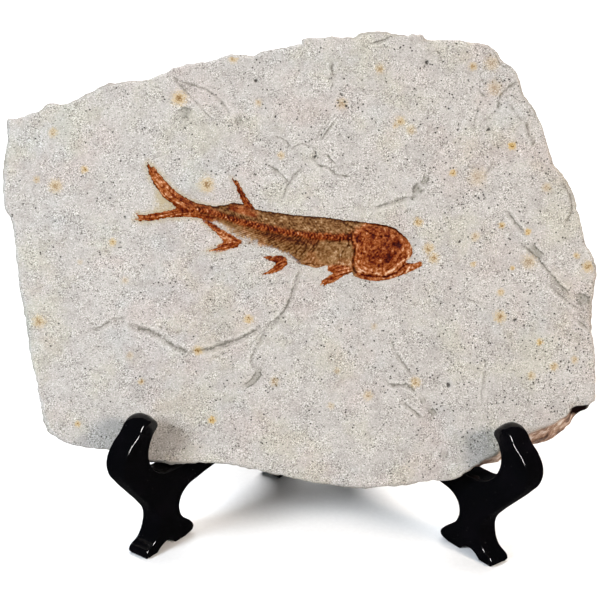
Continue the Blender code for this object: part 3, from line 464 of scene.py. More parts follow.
def near_line(u, v, line):
    """For each place: its distance to a line, which side it is on (1 is to the left as
    the line runs), and how far along the line its nearest point is."""
    best = np.full(u.shape, 1e9)
    side = np.ones(u.shape)
    along = np.zeros(u.shape)
    gone = 0.0
    for a, b in zip(line, line[1:]):
        run = b - a
        length = max(np.hypot(*run), 1e-9)
        t = np.clip(((u - a[0]) * run[0] + (v - a[1]) * run[1]) / length ** 2, 0, 1)
        du, dv = u - a[0] - t * run[0], v - a[1] - t * run[1]
        distance = np.hypot(du, dv)
        nearer = distance < best
        best[nearer] = distance[nearer]
        side[nearer] = np.sign(run[0] * dv - run[1] * du)[nearer]
        along[nearer] = (gone + t * length)[nearer]
        gone += length
    return best, side, along


def depth_inside(u, v, outline):
    """Distance to a closed outline, positive inside it."""
    closed = np.vstack((outline, outline[:1]))
    distance, _, _ = near_line(u, v, closed)
    inside = np.zeros(u.shape, bool)
    for a, b in zip(closed, closed[1:]):
        reach = a[0] + (v - a[1]) * (b[0] - a[0]) / (b[1] - a[1] + 1e-12)
        inside ^= ((a[1] > v) != (b[1] > v)) & (u < reach)
    return np.where(inside, distance, -distance)


def on_face(u, v, height):
    """Points in space of places on the slab's face, this far off it."""
    return (SEAT_LINE + u[..., None] * FACE_U + v[..., None] * FACE_V
            + height[..., None] * FACE_OUT)


# ---------------------------------------------------------------------------- mesh tools

def new_object(name, mesh, material):
    """A new object of this mesh and material."""
    made = bpy.data.objects.new(name, mesh)
    bpy.context.scene.collection.objects.link(made)
    mesh.materials.append(material)
    return made


def mesh_from_arrays(name, points, faces, fields):
    """A smooth mesh from points in millimetres, with named numbers for each vertex."""
    mesh = bpy.data.meshes.new(name)
    mesh.from_pydata((points * MM).tolist(), [], faces)
    for field, values in fields.items():
        attribute = mesh.attributes.new(field, "FLOAT", "POINT")
        attribute.data.foreach_set("value", np.ascontiguousarray(values, np.float32))
    mesh.shade_smooth()
    return mesh


def grid_ring(columns, rows):
    """Where the border of a grid is in it, as flat indices, anticlockwise."""
    index = np.arange((rows + 1) * (columns + 1)).reshape(rows + 1, columns + 1)
    return np.concatenate((index[0, :-1], index[:-1, -1], index[-1, :0:-1], index[:0:-1, 0]))


def grid_faces(columns, rows):
    """A grid's faces, as rows of four flat indices."""
    index = np.arange((rows + 1) * (columns + 1)).reshape(rows + 1, columns + 1)
    return np.stack((index[:-1, :-1], index[:-1, 1:], index[1:, 1:], index[1:, :-1]),
                    axis=-1).reshape(-1, 4)


def ring_faces(upper, lower):
    """Faces between two closed rings of as many points."""
    return np.stack((upper, lower, np.roll(lower, -1), np.roll(upper, -1)), axis=1)


def halving_faces(ring, coarse):
    """Faces between a closed ring and one of half as many points."""
    even, odd = ring[::2], ring[1::2]
    ahead, next_coarse = np.roll(even, -1), np.roll(coarse, -1)
    return np.vstack([np.stack(three, axis=1) for three in (
        (even, coarse, odd), (odd, coarse, next_coarse), (odd, next_coarse, ahead))])


# ---------------------------------------------------------------------------------- slab

def sample_side(side, count):
    """Points at even steps along a smooth line through the side's points."""
    line = smooth_line(side)
    gone = np.concatenate(((0.0,), np.cumsum(np.hypot(*np.diff(line[:, :2], axis=0).T))))
    places = np.linspace(0, gone[-1], count + 1)
    return np.stack([np.interp(places, gone, line[:, k]) for k in range(3)], axis=1)


def slab_border(columns, rows):
    """The slab's outline, anticlockwise from the bottom left, as rows of (u, v, lip)."""
    return np.vstack((
        sample_side(SLAB_BOTTOM, columns)[:-1], sample_side(SLAB_RIGHT, rows)[:-1],
        sample_side(SLAB_TOP, columns)[:0:-1], sample_side(SLAB_LEFT, rows)[:0:-1]))


def outward(ring, spread=8):
    """Unit normals of a closed anticlockwise ring, evened out along it."""
    along = np.roll(ring, -1, 0) - np.roll(ring, 1, 0)
    normals = np.stack((along[:, 1], -along[:, 0]), axis=1)
    normals /= np.hypot(*normals.T)[:, None]
    evened = sum(np.roll(normals, k, 0) for k in range(-spread, spread + 1))
    return evened / np.hypot(*evened.T)[:, None]


def fill_ring(ring, columns, rows):
    """A grid of places inside a ring, blended smoothly between its four sides."""
    bottom = ring[:columns + 1]
    right = ring[columns:columns + rows + 1]
    top = ring[columns + rows:2 * columns + rows + 1][::-1]
    left = np.vstack((ring[2 * columns + rows:], ring[:1]))[::-1]
    s = np.linspace(0, 1, columns + 1)[None, :, None]
    t = np.linspace(0, 1, rows + 1)[:, None, None]
    corners = ((bottom[0] * (1 - s) + bottom[-1] * s) * (1 - t)
               + (top[0] * (1 - s) + top[-1] * s) * t)
    return (left[:, None] * (1 - s) + right[:, None] * s
            + bottom[None] * (1 - t) + top[None] * t - corners)


def line_field(u, v, marks, noise_layer):
    """Nearest mark's signed distance and strength, for lists of lines."""
    signed = np.full(u.shape, 3.0)
    strength = np.zeros(u.shape)
    nearest = np.full(u.shape, 1e9)
    wobble = 0.25 * blotches(u, v, 1.3, noise_layer, 4)
    for width, darkness, points in marks:
        line = smooth_line(points, steps=4)
        if line[0, 0] > line[-1, 0]:
            line = line[::-1]
        distance, side, along = near_line(u, v, line)
        length = np.hypot(*np.diff(line, axis=0).T).sum()
        taper = ramp(np.minimum(along, length - along), -0.3, 0.12 * length + 0.8)
        reach = (distance + wobble) / width
        hit = reach < nearest
        nearest[hit] = reach[hit]
        signed[hit] = (side * (distance + wobble) / width)[hit]
        strength[hit] = darkness * taper[hit]
    return np.clip(signed, -3, 3), strength * ramp(-nearest, -3.0, -1.5)


def spot_field(u, v, spots):
    """Distance to the nearest spot in its radii, and its strength."""
    nearest = np.full(u.shape, 9.0)
    strength = np.zeros(u.shape)
    for at_u, at_v, radius, *more in spots:
        reach = np.hypot(u - at_u, v - at_v) / radius
        hit = reach < nearest
        nearest[hit] = reach[hit]
        strength[hit] = more[0] if more else 1.0
    return nearest, strength


def face_height(u, v):
    """Relief of the slab's bare face, in millimetres."""
    height = 0.28 * blotches(u, v, 24, 3, 4) + 0.10 * blotches(u, v, 5, 9, 4)
    height += 0.045 * blotches(u, v, 1.4, 14)
    for depth, points in FLAKES:
        inside = depth_inside(u, v, np.array(points)) + 0.5 * blotches(u, v, 2, 21, 4)
        height -= depth * ramp(inside, -0.3, 0.3)
    return height


def hollow_shade_layer(u, v, depth):
    """How much a place belongs to the recess under the right-hand tip, where its shade is painted near
    black.
    """
    return (patch(u, 73.0, 73.8, 78.0, 79.4) * patch(v, 17.4, 18.0, 21.5, 23.5)
            * patch(depth, 0.3, 0.5, *COLOURED_BEDS))


def brown_layer(u, v, depth):
    """How much a place belongs to the brown beds at the lower right."""
    return (patch(u, 43, 50, 74, 79) * (1 - ramp(v, 26, 30))
            * patch(depth, 0.5, 1.6, *COLOURED_BEDS))


def face_fields(u, v):
    """Relief of the slab's face, and the marks that its material shows."""
    ridge, ridge_strength = line_field(u, v, RIDGES, 51)
    scrape, scrape_strength = line_field(u, v, SCRAPES, 55)
    rust, rust_strength = spot_field(u, v, RUST_SPOTS)
    pit, _ = spot_field(u, v, PITS)
    height = face_height(u, v)
    height += ridge_strength * (0.05 * bell(ridge + 0.45, 0.45) - 0.04 * bell(ridge - 0.35, 0.4))
    height -= 0.10 * scrape_strength * ramp(-np.abs(scrape), -0.7, -0.35)
    height -= 0.3 * ramp(-pit, -1.2, -0.2) + 0.08 * rust_strength * ramp(-rust, -1.0, 0.0)
    outside = -fish_depth(u, v)
    tail_side = 1 - ramp(u, -34, -10)
    halo = np.exp(-np.maximum(outside, 0) / 1.3) * (0.45 + 0.4 * tail_side)
    halo += 0.5 * bell(u + 37.5, 3.2) * bell(v - 71.5, 2.6)
    pepper = 0.07 * ramp(u, 5, 60) - 0.03 * ramp(-u, 10, 60)
    for at_u, at_v, radius, crowd in PEPPER:
        pepper += crowd * bell(np.hypot(u - at_u, v - at_v), radius)
    return {"height": height, "ridge": ridge, "ridge_strength": ridge_strength,
            "scrape": 0.55 - np.abs(scrape), "scrape_strength": scrape_strength,
            "rust": rust, "rust_strength": rust_strength, "pit": pit, "halo": halo,
            "pepper": pepper}


def broken_edge(columns, rows):
    """The slab's worn outline: its places, the way outward, the distance gone round it,
    its lip and the wear of its front corner."""
    border = slab_border(columns, rows)
    places, lip = border[:, :2], border[:, 2]
    normals = outward(places)
    gone = np.cumsum(np.hypot(*(places - np.roll(places, 1, 0)).T))
    level = np.zeros(len(gone))
    ragged = EDGE_WANDER * fractal(gone / 3.2, level, 2)
    ragged += EDGE_CHIPS * value_noise(gone, level, 5)
    least, most = CORNER_WEAR
    wear = least + (most - least) * ramp(fractal(gone / 7, level, 6), -0.3, 0.8)
    return SimpleNamespace(places=places + normals * ragged[:, None], normals=normals,
                           gone=gone, lip=lip, wear=wear)


def edge_ring(edge, depth, share):
    """Places of the broken edge at one depth, where this share of its lip shows."""
    level = np.zeros(len(edge.gone))
    bed = BED_WANDER * fractal(edge.gone / 6, level + depth / 0.9, 41, octaves=2)
    bed += BED_CHIPS * value_noise(edge.gone / 1.1, level + depth / 0.5, 47)
    out = share * edge.lip + bed * ramp(depth, 0.3, 1.8)
    out -= edge.wear * (1 - ramp(depth, 0.0, 0.8))
    out -= 0.5 * ramp(depth, 6.6, 7.5)
    return edge.places + edge.normals * out[:, None]


def build_slab(material):
    """The slab: a finely worn face, a layered broken edge and a rough split back, which
    has a grid of half as many columns and rows."""
    columns, rows = SLAB_COLUMNS, SLAB_ROWS
    edge = broken_edge(columns, rows)
    inset = edge.wear + FACE_INSET
    front = fill_ring(edge.places - edge.normals * inset[:, None], columns, rows)
    front = front.reshape(-1, 2)
    fields = face_fields(*front.T)
    front_height = fields.pop("height")
    outset = edge.lip - BACK_INSET
    back_ring = (edge.places + edge.normals * outset[:, None])[::2]
    back = fill_ring(back_ring, columns // 2, rows // 2).reshape(-1, 2)
    back_height = 0.35 * blotches(*back.T, 18, 31, 4) + 0.22 * blotches(*back.T, 4, 36, 4)

    at_front, at_back = grid_ring(columns, rows), grid_ring(columns // 2, rows // 2)
    top, under = front_height[at_front], np.repeat(back_height[at_back], 2)
    places, heights, rings = [front], [front_height], [at_front]
    for number, (depth, share) in enumerate(EDGE_LAYERS):
        deep = depth / SLAB_DEPTH
        places.append(edge_ring(edge, depth, share))
        heights.append(top * (1 - deep) + under * deep - depth)
        rings.append(len(front) + number * len(top) + np.arange(len(top)))
    places = np.vstack(places + [back])
    heights = np.concatenate(heights + [back_height - SLAB_DEPTH])

    back_start = len(places) - len(back)
    faces = grid_faces(columns, rows).tolist()
    for upper, lower in zip(rings, rings[1:]):
        faces += ring_faces(upper, lower).tolist()
    faces += halving_faces(rings[-1], back_start + at_back).tolist()
    faces += (back_start + grid_faces(columns // 2, rows // 2)[:, ::-1]).tolist()

    unmarked = {"ridge": 3.0, "rust": 9.0, "pit": 9.0, "scrape": -3.0}
    for name in fields:
        rest = np.full(len(places) - len(front), unmarked.get(name, 0.0))
        fields[name] = np.concatenate((fields[name], rest))
    fields["depth"] = -heights
    fields["brown"] = brown_layer(*places.T, -heights)
    # painted shade: the recess under the right-hand tip, on the edge only
    fields["hollow_shade"] = hollow_shade_layer(*places.T, -heights)
    fields["hollow_shade"][:len(front)] = 0.0
    mesh = mesh_from_arrays("slab_stone", on_face(*places.T, heights), faces, fields)
    return new_object("slab_stone", mesh, material)


# ---------------------------------------------------------------------------------- fish

def fin_rays(u, v, number):
    """How far inside a fin a place is, the pattern of its rays (about -1 to 1) and the
    place along it, from 0 at its root to 1 at its tip. Its edge is ragged and its tip is
    split between rays."""
    outline, line = FISH_FINS[number]
    line = smooth_line(line)
    across, side, along = near_line(u, v, line)
    place = across * side / 0.24 + 0.37 + 9 * number
    rays = 1.3 * fractal(place, along / 4.0, 91, octaves=2)
    tip = along / np.hypot(*np.diff(line, axis=0).T).sum()
    depth = depth_inside(u, v, np.array(outline))
    depth += 0.26 * blotches(u, v, 0.45, 97) - 0.05
    return depth - 0.45 * ramp(-rays, 0.1, 0.8) * ramp(tip, 0.65, 1.0), rays, tip


def fish_depth(u, v):
    """How far inside the fish's outline a place is; below zero outside it."""
    depth = depth_inside(u, v, smooth_line(TRUNK, closed=True, steps=3))
    for number in range(len(FISH_FINS)):
        depth = np.maximum(depth, fin_rays(u, v, number)[0])
    return depth


def strokes(place, pitch, half_width, layer):
    """Thin lines a pitch apart, each a little stronger or weaker than the next."""
    number = np.round(place / pitch)
    strength = 0.7 + 0.4 * value_noise(number * 1.7, number * 0, layer)
    return strength * bell(place - number * pitch, half_width)


def lay(fish, share, tone, olive, thick):
    """Lay bone of this tone, olive and thickness over a share of each place."""
    fish.tone = fish.tone * (1 - share) + tone * share
    fish.olive = fish.olive * (1 - share) + olive * share
    fish.cover = np.maximum(fish.cover, share)
    fish.thick = fish.thick + thick * share


def lay_flesh(fish):
    """Olive skin over fine slanting bones, thin and fading on the belly."""
    below = ramp(-fish.across, 0.2, 1.0)
    wobble = 0.30 * fish.cloud + 0.12 * fish.grain
    wobble += 0.10 * fish.across * value_noise(fish.along / 1.9, fish.across / 3.0, 79)
    broken = ramp(blotches(fish.u, fish.v, 1.3, 80), -0.5, 0.2)
    slant = 1.5 - 1.15 * ramp(fish.u, -18, 8)
    ribs = strokes(fish.along - slant * fish.across + wobble, BONE_PITCH, 0.19, 81)
    ribs *= (0.35 + 0.65 * broken) * (1 - 0.8 * ramp(fish.u, 0, 7))
    ribs *= ramp(fish.u, -22, -16) * ramp(fish.edge, 0.1, 1.2)
    spines = strokes(fish.along + 0.85 * fish.across + wobble, BONE_PITCH, 0.18, 83)
    spines *= ramp(fish.across + 1.2 * fish.cloud, 4.2, 2.4) * (0.25 + 0.75 * broken)
    dashes = fractal(fish.across / 0.33 + 0.5 * fish.cloud, fish.along / 0.8, 85, octaves=2)
    crowd = bell(fish.across + 1.7, 1.0) * patch(fish.u, -16, -8, 2, 6)

    fish.tone = 0.41 + 0.14 * fish.cloud + 0.36 * fish.grain
    fish.tone += below * (0.06 - 0.46 * ribs - 0.20 * crowd + 0.10 * ramp(fish.u, 0, 8))
    fish.tone += (1 - below) * (0.38 * dashes - 0.36 * spines)
    crest = bell(fish.edge, 0.42) * ramp(fish.across, 0.5, 1.5)
    fish.tone -= 0.62 * crest * ramp(fish.u, -37, -33)
    fish.olive = 1 - 0.45 * crowd - 0.30 * below * ramp(fish.cloud, 0.0, 0.5)
    fish.thick = 0.10 + 0.50 * ramp(fish.edge, 0.2, 4.5) * (1 - 0.35 * below)
    fish.thick += 0.10 * below * (0.5 - ribs) - 0.07 * (1 - below) * spines

    deep = ramp(-fish.across, 1.0, 2.6)
    fade = ramp(fish.edge + 0.8 * fish.cloud + 0.6 * fish.grain, 0.1, 2.2)
    thin = 1 - 0.75 * ramp(fish.u, -4, 1)
    fish.cover = 1 - deep * (1 - fade) * thin
    rear = deep * (1 - ramp(fish.u, -16, -6))
    fish.cover = np.maximum(fish.cover, 0.5 * rear) * (1 - rear * (0.4 - 0.5 * ribs))
    fish.tone += 0.22 * rear * (1 - ribs)


def lay_backbone(fish):
    """The backbone: red-brown bones with pale middles and dark slanting joints."""
    band = SPINE_HALF_WIDTH - np.abs(fish.across) + 0.45 * fish.grain + 0.2 * fish.cloud
    band = ramp(band, -0.35, 0.55) * (1 - ramp(fish.u + 0.5 * fish.grain, 12.6, 13.6))
    place = fish.along + 0.55 * np.abs(fish.across) + 0.16 * fish.grain + 0.25 * fish.cloud
    broken = ramp(blotches(fish.u, fish.v, 0.7, 86), -0.45, 0.25)
    joints = strokes(place, BONE_PITCH, 0.17, 87) * (0.25 + 0.75 * broken)
    middles = strokes(place + BONE_PITCH / 2, BONE_PITCH, 0.20, 88) * (1.1 - 0.8 * broken)
    middles *= bell(fish.across - 0.10, 0.70)
    tone = 0.34 + 0.46 * middles - 0.34 * joints + 0.50 * fish.grain
    lay(fish, band, tone, 0.0, 0.14 + 0.16 * middles - 0.10 * joints)


def lay_tail_stem(fish):
    """Bare orange bone at the tail and at the base of the back fin."""
    reach = fish.u + 2.0 * fish.cloud + 1.2 * np.abs(fish.across)
    stem = 1 - ramp(reach, -25, -20)
    base = ramp(fish.across, 1.6, 2.4) * patch(fish.u, -20.5, -19, -13, -11)
    share = np.maximum(stem, base)
    share *= ramp(np.abs(fish.across) + 3 * (fish.u < -31), 0.6, 1.1)
    streaks = fractal(fish.across / 0.36, fish.along / 1.7, 95, octaves=2)
    crest = bell(fish.edge, 0.7) * ramp(fish.across, 1.0, 1.6)
    tone = 0.44 + 0.30 * streaks + 0.26 * fish.grain + 0.10 * fish.cloud - 0.30 * crest
    lay(fish, share, tone, 0.05 + 0.6 * crest, 0.05 * streaks)


def lay_skull(fish):
    """Swirling bone round the cheek, darkest and thinnest at the eye."""
    u, v = fish.u, fish.v
    inside = depth_inside(u, v, smooth_line(HEAD, closed=True, steps=3))
    share = ramp(inside + 0.8 * fish.grain + 0.4 * fish.cloud, -0.6, 0.7)
    around = np.hypot(u - CHEEK_CENTRE[0], v - CHEEK_CENTRE[1])
    turn = np.abs(np.arctan2(v - CHEEK_CENTRE[1], u - CHEEK_CENTRE[0]))
    swirl = fractal(around / 0.36 + 3.0 * fish.cloud, turn * 5.0 + 2.6 * fish.cloud, 71,
                    octaves=2)
    mottle = blotches(u, v, 1.1, 76)
    tone = 0.46 + 0.27 * swirl + 0.22 * mottle + 0.38 * fish.grain
    tone += 0.10 * ramp(around, 4.0, 7.0)
    for at_u, at_v, radius, darkness in HEAD_PATCHES:
        reach = np.hypot(u - at_u, v - at_v) + 0.6 * mottle
        tone -= 1.1 * darkness * bell(reach, radius)
    tone -= 0.75 * bell(fish.edge, 0.48) * ramp(v - 0.2 * u, 56.5, 59.5)
    dome = np.hypot((u - HEAD_CENTRE[0]) / HEAD_REACH[0], (v - HEAD_CENTRE[1]) / HEAD_REACH[1])
    thick = 0.20 + 0.75 * np.clip(1 - dome ** 2, 0, 1) + 0.12 * swirl
    at_u, at_v, radius, _ = HEAD_PATCHES[0]
    thick -= 0.28 * bell(np.hypot(u - at_u, v - at_v), radius)
    crown = bell(fish.edge, 1.0) * ramp(v, 62, 66)
    lay(fish, share, tone, 0.02 + 0.35 * crown, thick)


def lay_lines(fish):
    """The lines of the skull and shoulder: dark ones are grooves, pale ones stand up."""
    broken = ramp(blotches(fish.u, fish.v, 0.8, 99), -0.7, 0.1)
    for change, half_width, points in HEAD_LINES:
        distance, _, _ = near_line(fish.u, fish.v, smooth_line(points))
        line = bell(distance + 0.14 * fish.grain, half_width) * (0.35 + 0.65 * broken)
        fish.tone += change * line
        fish.thick += 0.35 * change * line


def lay_fins(fish):
    """Fins: bundles of fine orange rays, darker along their edges."""
    for number in range(len(FISH_FINS)):
        inside, rays, tip = fin_rays(fish.u, fish.v, number)
        share = ramp(inside + 0.25 * rays, -0.25, 0.35) * ramp(tip, -0.05, 0.12)
        tone = 0.43 + 0.36 * rays + 0.40 * fish.grain + 0.12 * fish.cloud + 0.08 * tip
        tone -= 0.22 * bell(inside, 0.28) * (1 - 0.7 * tip)
        lay(fish, share, tone, 0.0, 0.12 + 0.10 * rays)


def fish_fields(u, v, edge):
    """Thickness of the fish over the stone, and what its material needs to know: tone
    (dark to pale), olive (skin rather than bone) and cover (fish rather than stone)."""
    distance, side, along = near_line(u, v, smooth_line(SPINE))
    fish = SimpleNamespace(
        u=u, v=v, edge=edge, along=along, across=distance * side,
        grain=blotches(u, v, 0.5, 61), cloud=blotches(u, v, 3.5, 66, 3))
    for layer in (lay_flesh, lay_backbone, lay_tail_stem, lay_skull, lay_lines, lay_fins):
        layer(fish)
    thick = FILM_EDGE + np.maximum(fish.thick, 0) * ramp(edge, 0.0, 0.7)
    return thick, {"tone": np.clip(fish.tone, 0, 1), "olive": np.clip(fish.olive, 0, 1),
                   "cover": np.clip(fish.cover, 0, 1)}


def build_fish(material):
    """The fish: a closed sheet of bone, feathered into the stone at its outline."""
    u, v = np.meshgrid(*(np.arange(*span, FISH_STEP) for span in FISH_BOX))
    edge = fish_depth(u, v) + 0.14 * blotches(u, v, 0.8, 64)
    slope_v, slope_u = np.gradient(edge, FISH_STEP)
    steep = np.maximum(slope_u ** 2 + slope_v ** 2, 0.3)
    middle = (edge[:-1, :-1] + edge[1:, :-1] + edge[:-1, 1:] + edge[1:, 1:]) / 4
    cells = grid_faces(u.shape[1] - 1, u.shape[0] - 1)[(middle > 0).ravel()]

    used, packed = np.unique(cells, return_inverse=True)
    cells = packed.reshape(-1, 4)
    starts, ends = cells.ravel(), np.roll(cells, -1, 1).ravel()
    rim = ~np.isin(starts * len(used) + ends, ends * len(used) + starts)
    starts, ends = starts[rim], ends[rim]
    u, v, edge = u.ravel()[used], v.ravel()[used], edge.ravel()[used]
    pull = np.zeros(len(used))
    pull[starts] = np.clip(-edge[starts], -0.7 * FISH_STEP, 0.7 * FISH_STEP)
    u = u + pull * (slope_u / steep).ravel()[used]
    v = v + pull * (slope_v / steep).ravel()[used]
    edge = np.maximum(edge + pull, 0)

    thick, fields = fish_fields(u, v, edge)
    ground = face_height(u, v)
    points = np.vstack((on_face(u, v, ground + thick), on_face(u, v, ground - FILM_ROOT)))
    below = len(used)
    faces = cells.tolist() + (cells[:, ::-1] + below).tolist()
    faces += np.stack((starts, starts + below, ends + below, ends), axis=1).tolist()
    fields = {name: np.tile(values, 2) for name, values in fields.items()}
    mesh = mesh_from_arrays("fish_bones", points, faces, fields)
    return new_object("fish_bones", mesh, material)


# --------------------------------------------------------------------------------- stand

def settle(piece, tools):
    """Apply a piece's modifiers and remove the tools that they used."""
    graph = bpy.context.evaluated_depsgraph_get()
    finished = bpy.data.meshes.new_from_object(piece.evaluated_get(graph))
    piece.modifiers.clear()
    piece.data = finished
    for tool in tools:
        bpy.data.objects.remove(tool, do_unlink=True)
    return piece


def add_rounding(piece, width, segments):
    """Round a piece's sharp edges."""
    rounding = piece.modifiers.new("rounding", "BEVEL")
    rounding.width = width * MM
    rounding.segments = segments
    rounding.use_clamp_overlap = False
    rounding.limit_method = "ANGLE"
    rounding.angle_limit = math.radians(60)


def crown_hook(panel):
    """Round the top of a panel's hook across its thickness."""
    low, high, pull = HOOK_CROWN
    for vert in panel.data.vertices:
        share = min(max((vert.co.y / MM - low) / (high - low), 0.0), 1.0)
        near_side = (2 * vert.co.z / (PANEL_THICKNESS * MM)) ** 2
        if share and vert.co.x > (HOOK_CORE[0] - HOOK_REACH) * MM:
            inward = Vector((*HOOK_CORE, 0.0)) * MM - vert.co
            inward.z = 0.0
            vert.co += inward * pull * share * near_side


def outline_mesh(name):
    """The panel's outline, filled and given its thickness, in its own plane."""
    curve = bpy.data.curves.new(name, "CURVE")
    curve.dimensions = "2D"
    curve.fill_mode = "BOTH"
    curve.extrude = PANEL_THICKNESS * MM / 2
    curve.resolution_u = 8
    spline = curve.splines.new("BEZIER")
    spline.bezier_points.add(len(PANEL_OUTLINE) - 1)
    spline.use_cyclic_u = True
    for knot, point in zip(spline.bezier_points, PANEL_OUTLINE):
        handle = "VECTOR" if CORNER in point else "AUTO"
        knot.handle_left_type = handle
        knot.handle_right_type = handle
        knot.co = (point[0] * MM, point[1] * MM, 0.0)
    source = bpy.data.objects.new(name + "_outline", curve)
    bpy.context.scene.collection.objects.link(source)
    graph = bpy.context.evaluated_depsgraph_get()
    mesh = bpy.data.meshes.new_from_object(source.evaluated_get(graph))
    bpy.data.objects.remove(source, do_unlink=True)
    return mesh


def panel_sheet(name, material):
    """The panel as a closed sheet: each side one face, its rim cut across in three."""
    mesh = outline_mesh(name)
    shape = bmesh.new()
    shape.from_mesh(mesh)
    bmesh.ops.remove_doubles(shape, verts=shape.verts[:], dist=WELD)
    bmesh.ops.recalc_face_normals(shape, faces=shape.faces[:])
    flat = [edge for edge in shape.edges
            if all(abs(face.normal.z) > 0.99 for face in edge.link_faces)]
    bmesh.ops.dissolve_edges(shape, edges=flat)
    across = [edge for edge in shape.edges
              if abs(edge.verts[0].co.z - edge.verts[1].co.z) > PANEL_THICKNESS * MM / 2]
    bmesh.ops.subdivide_edges(shape, edges=across, cuts=2)
    shape.to_mesh(mesh)
    shape.free()
    return new_object(name, mesh, material)


def solid(name, material, matrix, shape_maker):
    """An object from a bmesh operation, put in place."""
    shape = bmesh.new()
    shape_maker(shape)
    shape.transform(matrix)
    mesh = bpy.data.meshes.new(name)
    shape.to_mesh(mesh)
    shape.free()
    return new_object(name, mesh, material)


def drum(radius, length):
    """A bmesh operation that makes an upright cylinder."""
    return lambda shape: bmesh.ops.create_cone(
        shape, cap_ends=True, segments=ROUND_SIDES, radius1=radius * MM, radius2=radius * MM,
        depth=length * MM)


def build_panel(name, side, knuckles, material):
    """Half of the stand. side is -1 for the left half and +1 for the right."""
    turn = Matrix.Rotation(side * PANEL_ANGLE - math.pi / 2, 4, "Z")
    to_hinge = Matrix.Translation((HINGE[0] * MM, HINGE[1] * MM, 0.0))
    panel = panel_sheet(name, material)
    add_rounding(panel, PANEL_ROUNDING, 4)
    panel.modifiers.new("caps", "TRIANGULATE").min_vertices = 5
    settle(panel, ())
    crown_hook(panel)
    panel.data.transform(to_hinge @ turn @ Matrix.Rotation(math.pi / 2, 4, "X"))
    tools = []
    for low, high in knuckles:
        middle = Matrix.Translation((0.0, 0.0, (low + high) / 2 * MM))
        barrel = solid("barrel", material, to_hinge @ middle, drum(KNUCKLE_RADIUS, high - low))
        add_rounding(barrel, KNUCKLE_ROUNDING, 3)
        stretch = Matrix.Diagonal((ARM_REACH * MM, ARM_THICKNESS * MM,
                                   (high - low - 2 * KNUCKLE_ROUNDING) * MM, 1.0))
        reach = Matrix.Translation((ARM_REACH / 2 * MM, 0.0, 0.0))
        arm = solid("arm", material, to_hinge @ middle @ turn @ reach @ stretch,
                    lambda shape: bmesh.ops.create_cube(shape, size=1.0))
        tools += [barrel, arm]
    bore = solid("bore", material,
                 to_hinge @ Matrix.Translation((0.0, 0.0, BORE_MIDDLE * MM)),
                 drum(BORE_RADIUS, BORE_LENGTH))
    for tool in tools + [bore]:
        joining = panel.modifiers.new(tool.name, "BOOLEAN")
        joining.operation = "DIFFERENCE" if tool is bore else "UNION"
        joining.solver = "EXACT"
        joining.object = tool
    settle(panel, tools + [bore])
    panel.data.shade_smooth()
    panel.data.set_sharp_from_angle(angle=math.radians(32))
    panel.modifiers.new("even_shading", "WEIGHTED_NORMAL").keep_sharp = True
    return panel


def build_pin(material):
    """The hinge pin, turned from its profile."""
    mesh = bpy.data.meshes.new("pin_turned")
    shape = bmesh.new()
    verts = [shape.verts.new((r * MM, 0.0, z * MM)) for r, z in PIN_PROFILE]
    edges = [shape.edges.new(pair) for pair in zip(verts, verts[1:])]
    bmesh.ops.spin(shape, geom=verts + edges, cent=(0, 0, 0), axis=(0, 0, 1),
                   angle=math.tau, steps=48, use_merge=True, use_duplicate=False)
    bmesh.ops.remove_doubles(shape, verts=shape.verts[:], dist=WELD)
    bmesh.ops.recalc_face_normals(shape, faces=shape.faces[:])
    shape.transform(Matrix.Translation((HINGE[0] * MM, HINGE[1] * MM, 0.0)))
    shape.to_mesh(mesh)
    shape.free()
    mesh.shade_smooth()
    mesh.set_sharp_from_angle(angle=math.radians(40))
    return new_object("pin_turned", mesh, material)


# ----------------------------------------------------------------------------- materials

def seen(red, green, blue):
    """The surface colour that looks like this under the studio's lamps, 0 to 255."""
    parts = [part / 255 for part in (red, green, blue)]
    linear = [p / 12.92 if p < 0.04045 else ((p + 0.055) / 1.055) ** 2.4 for p in parts]
    return (*(part / LAMP_LEVEL for part in linear), 1.0)


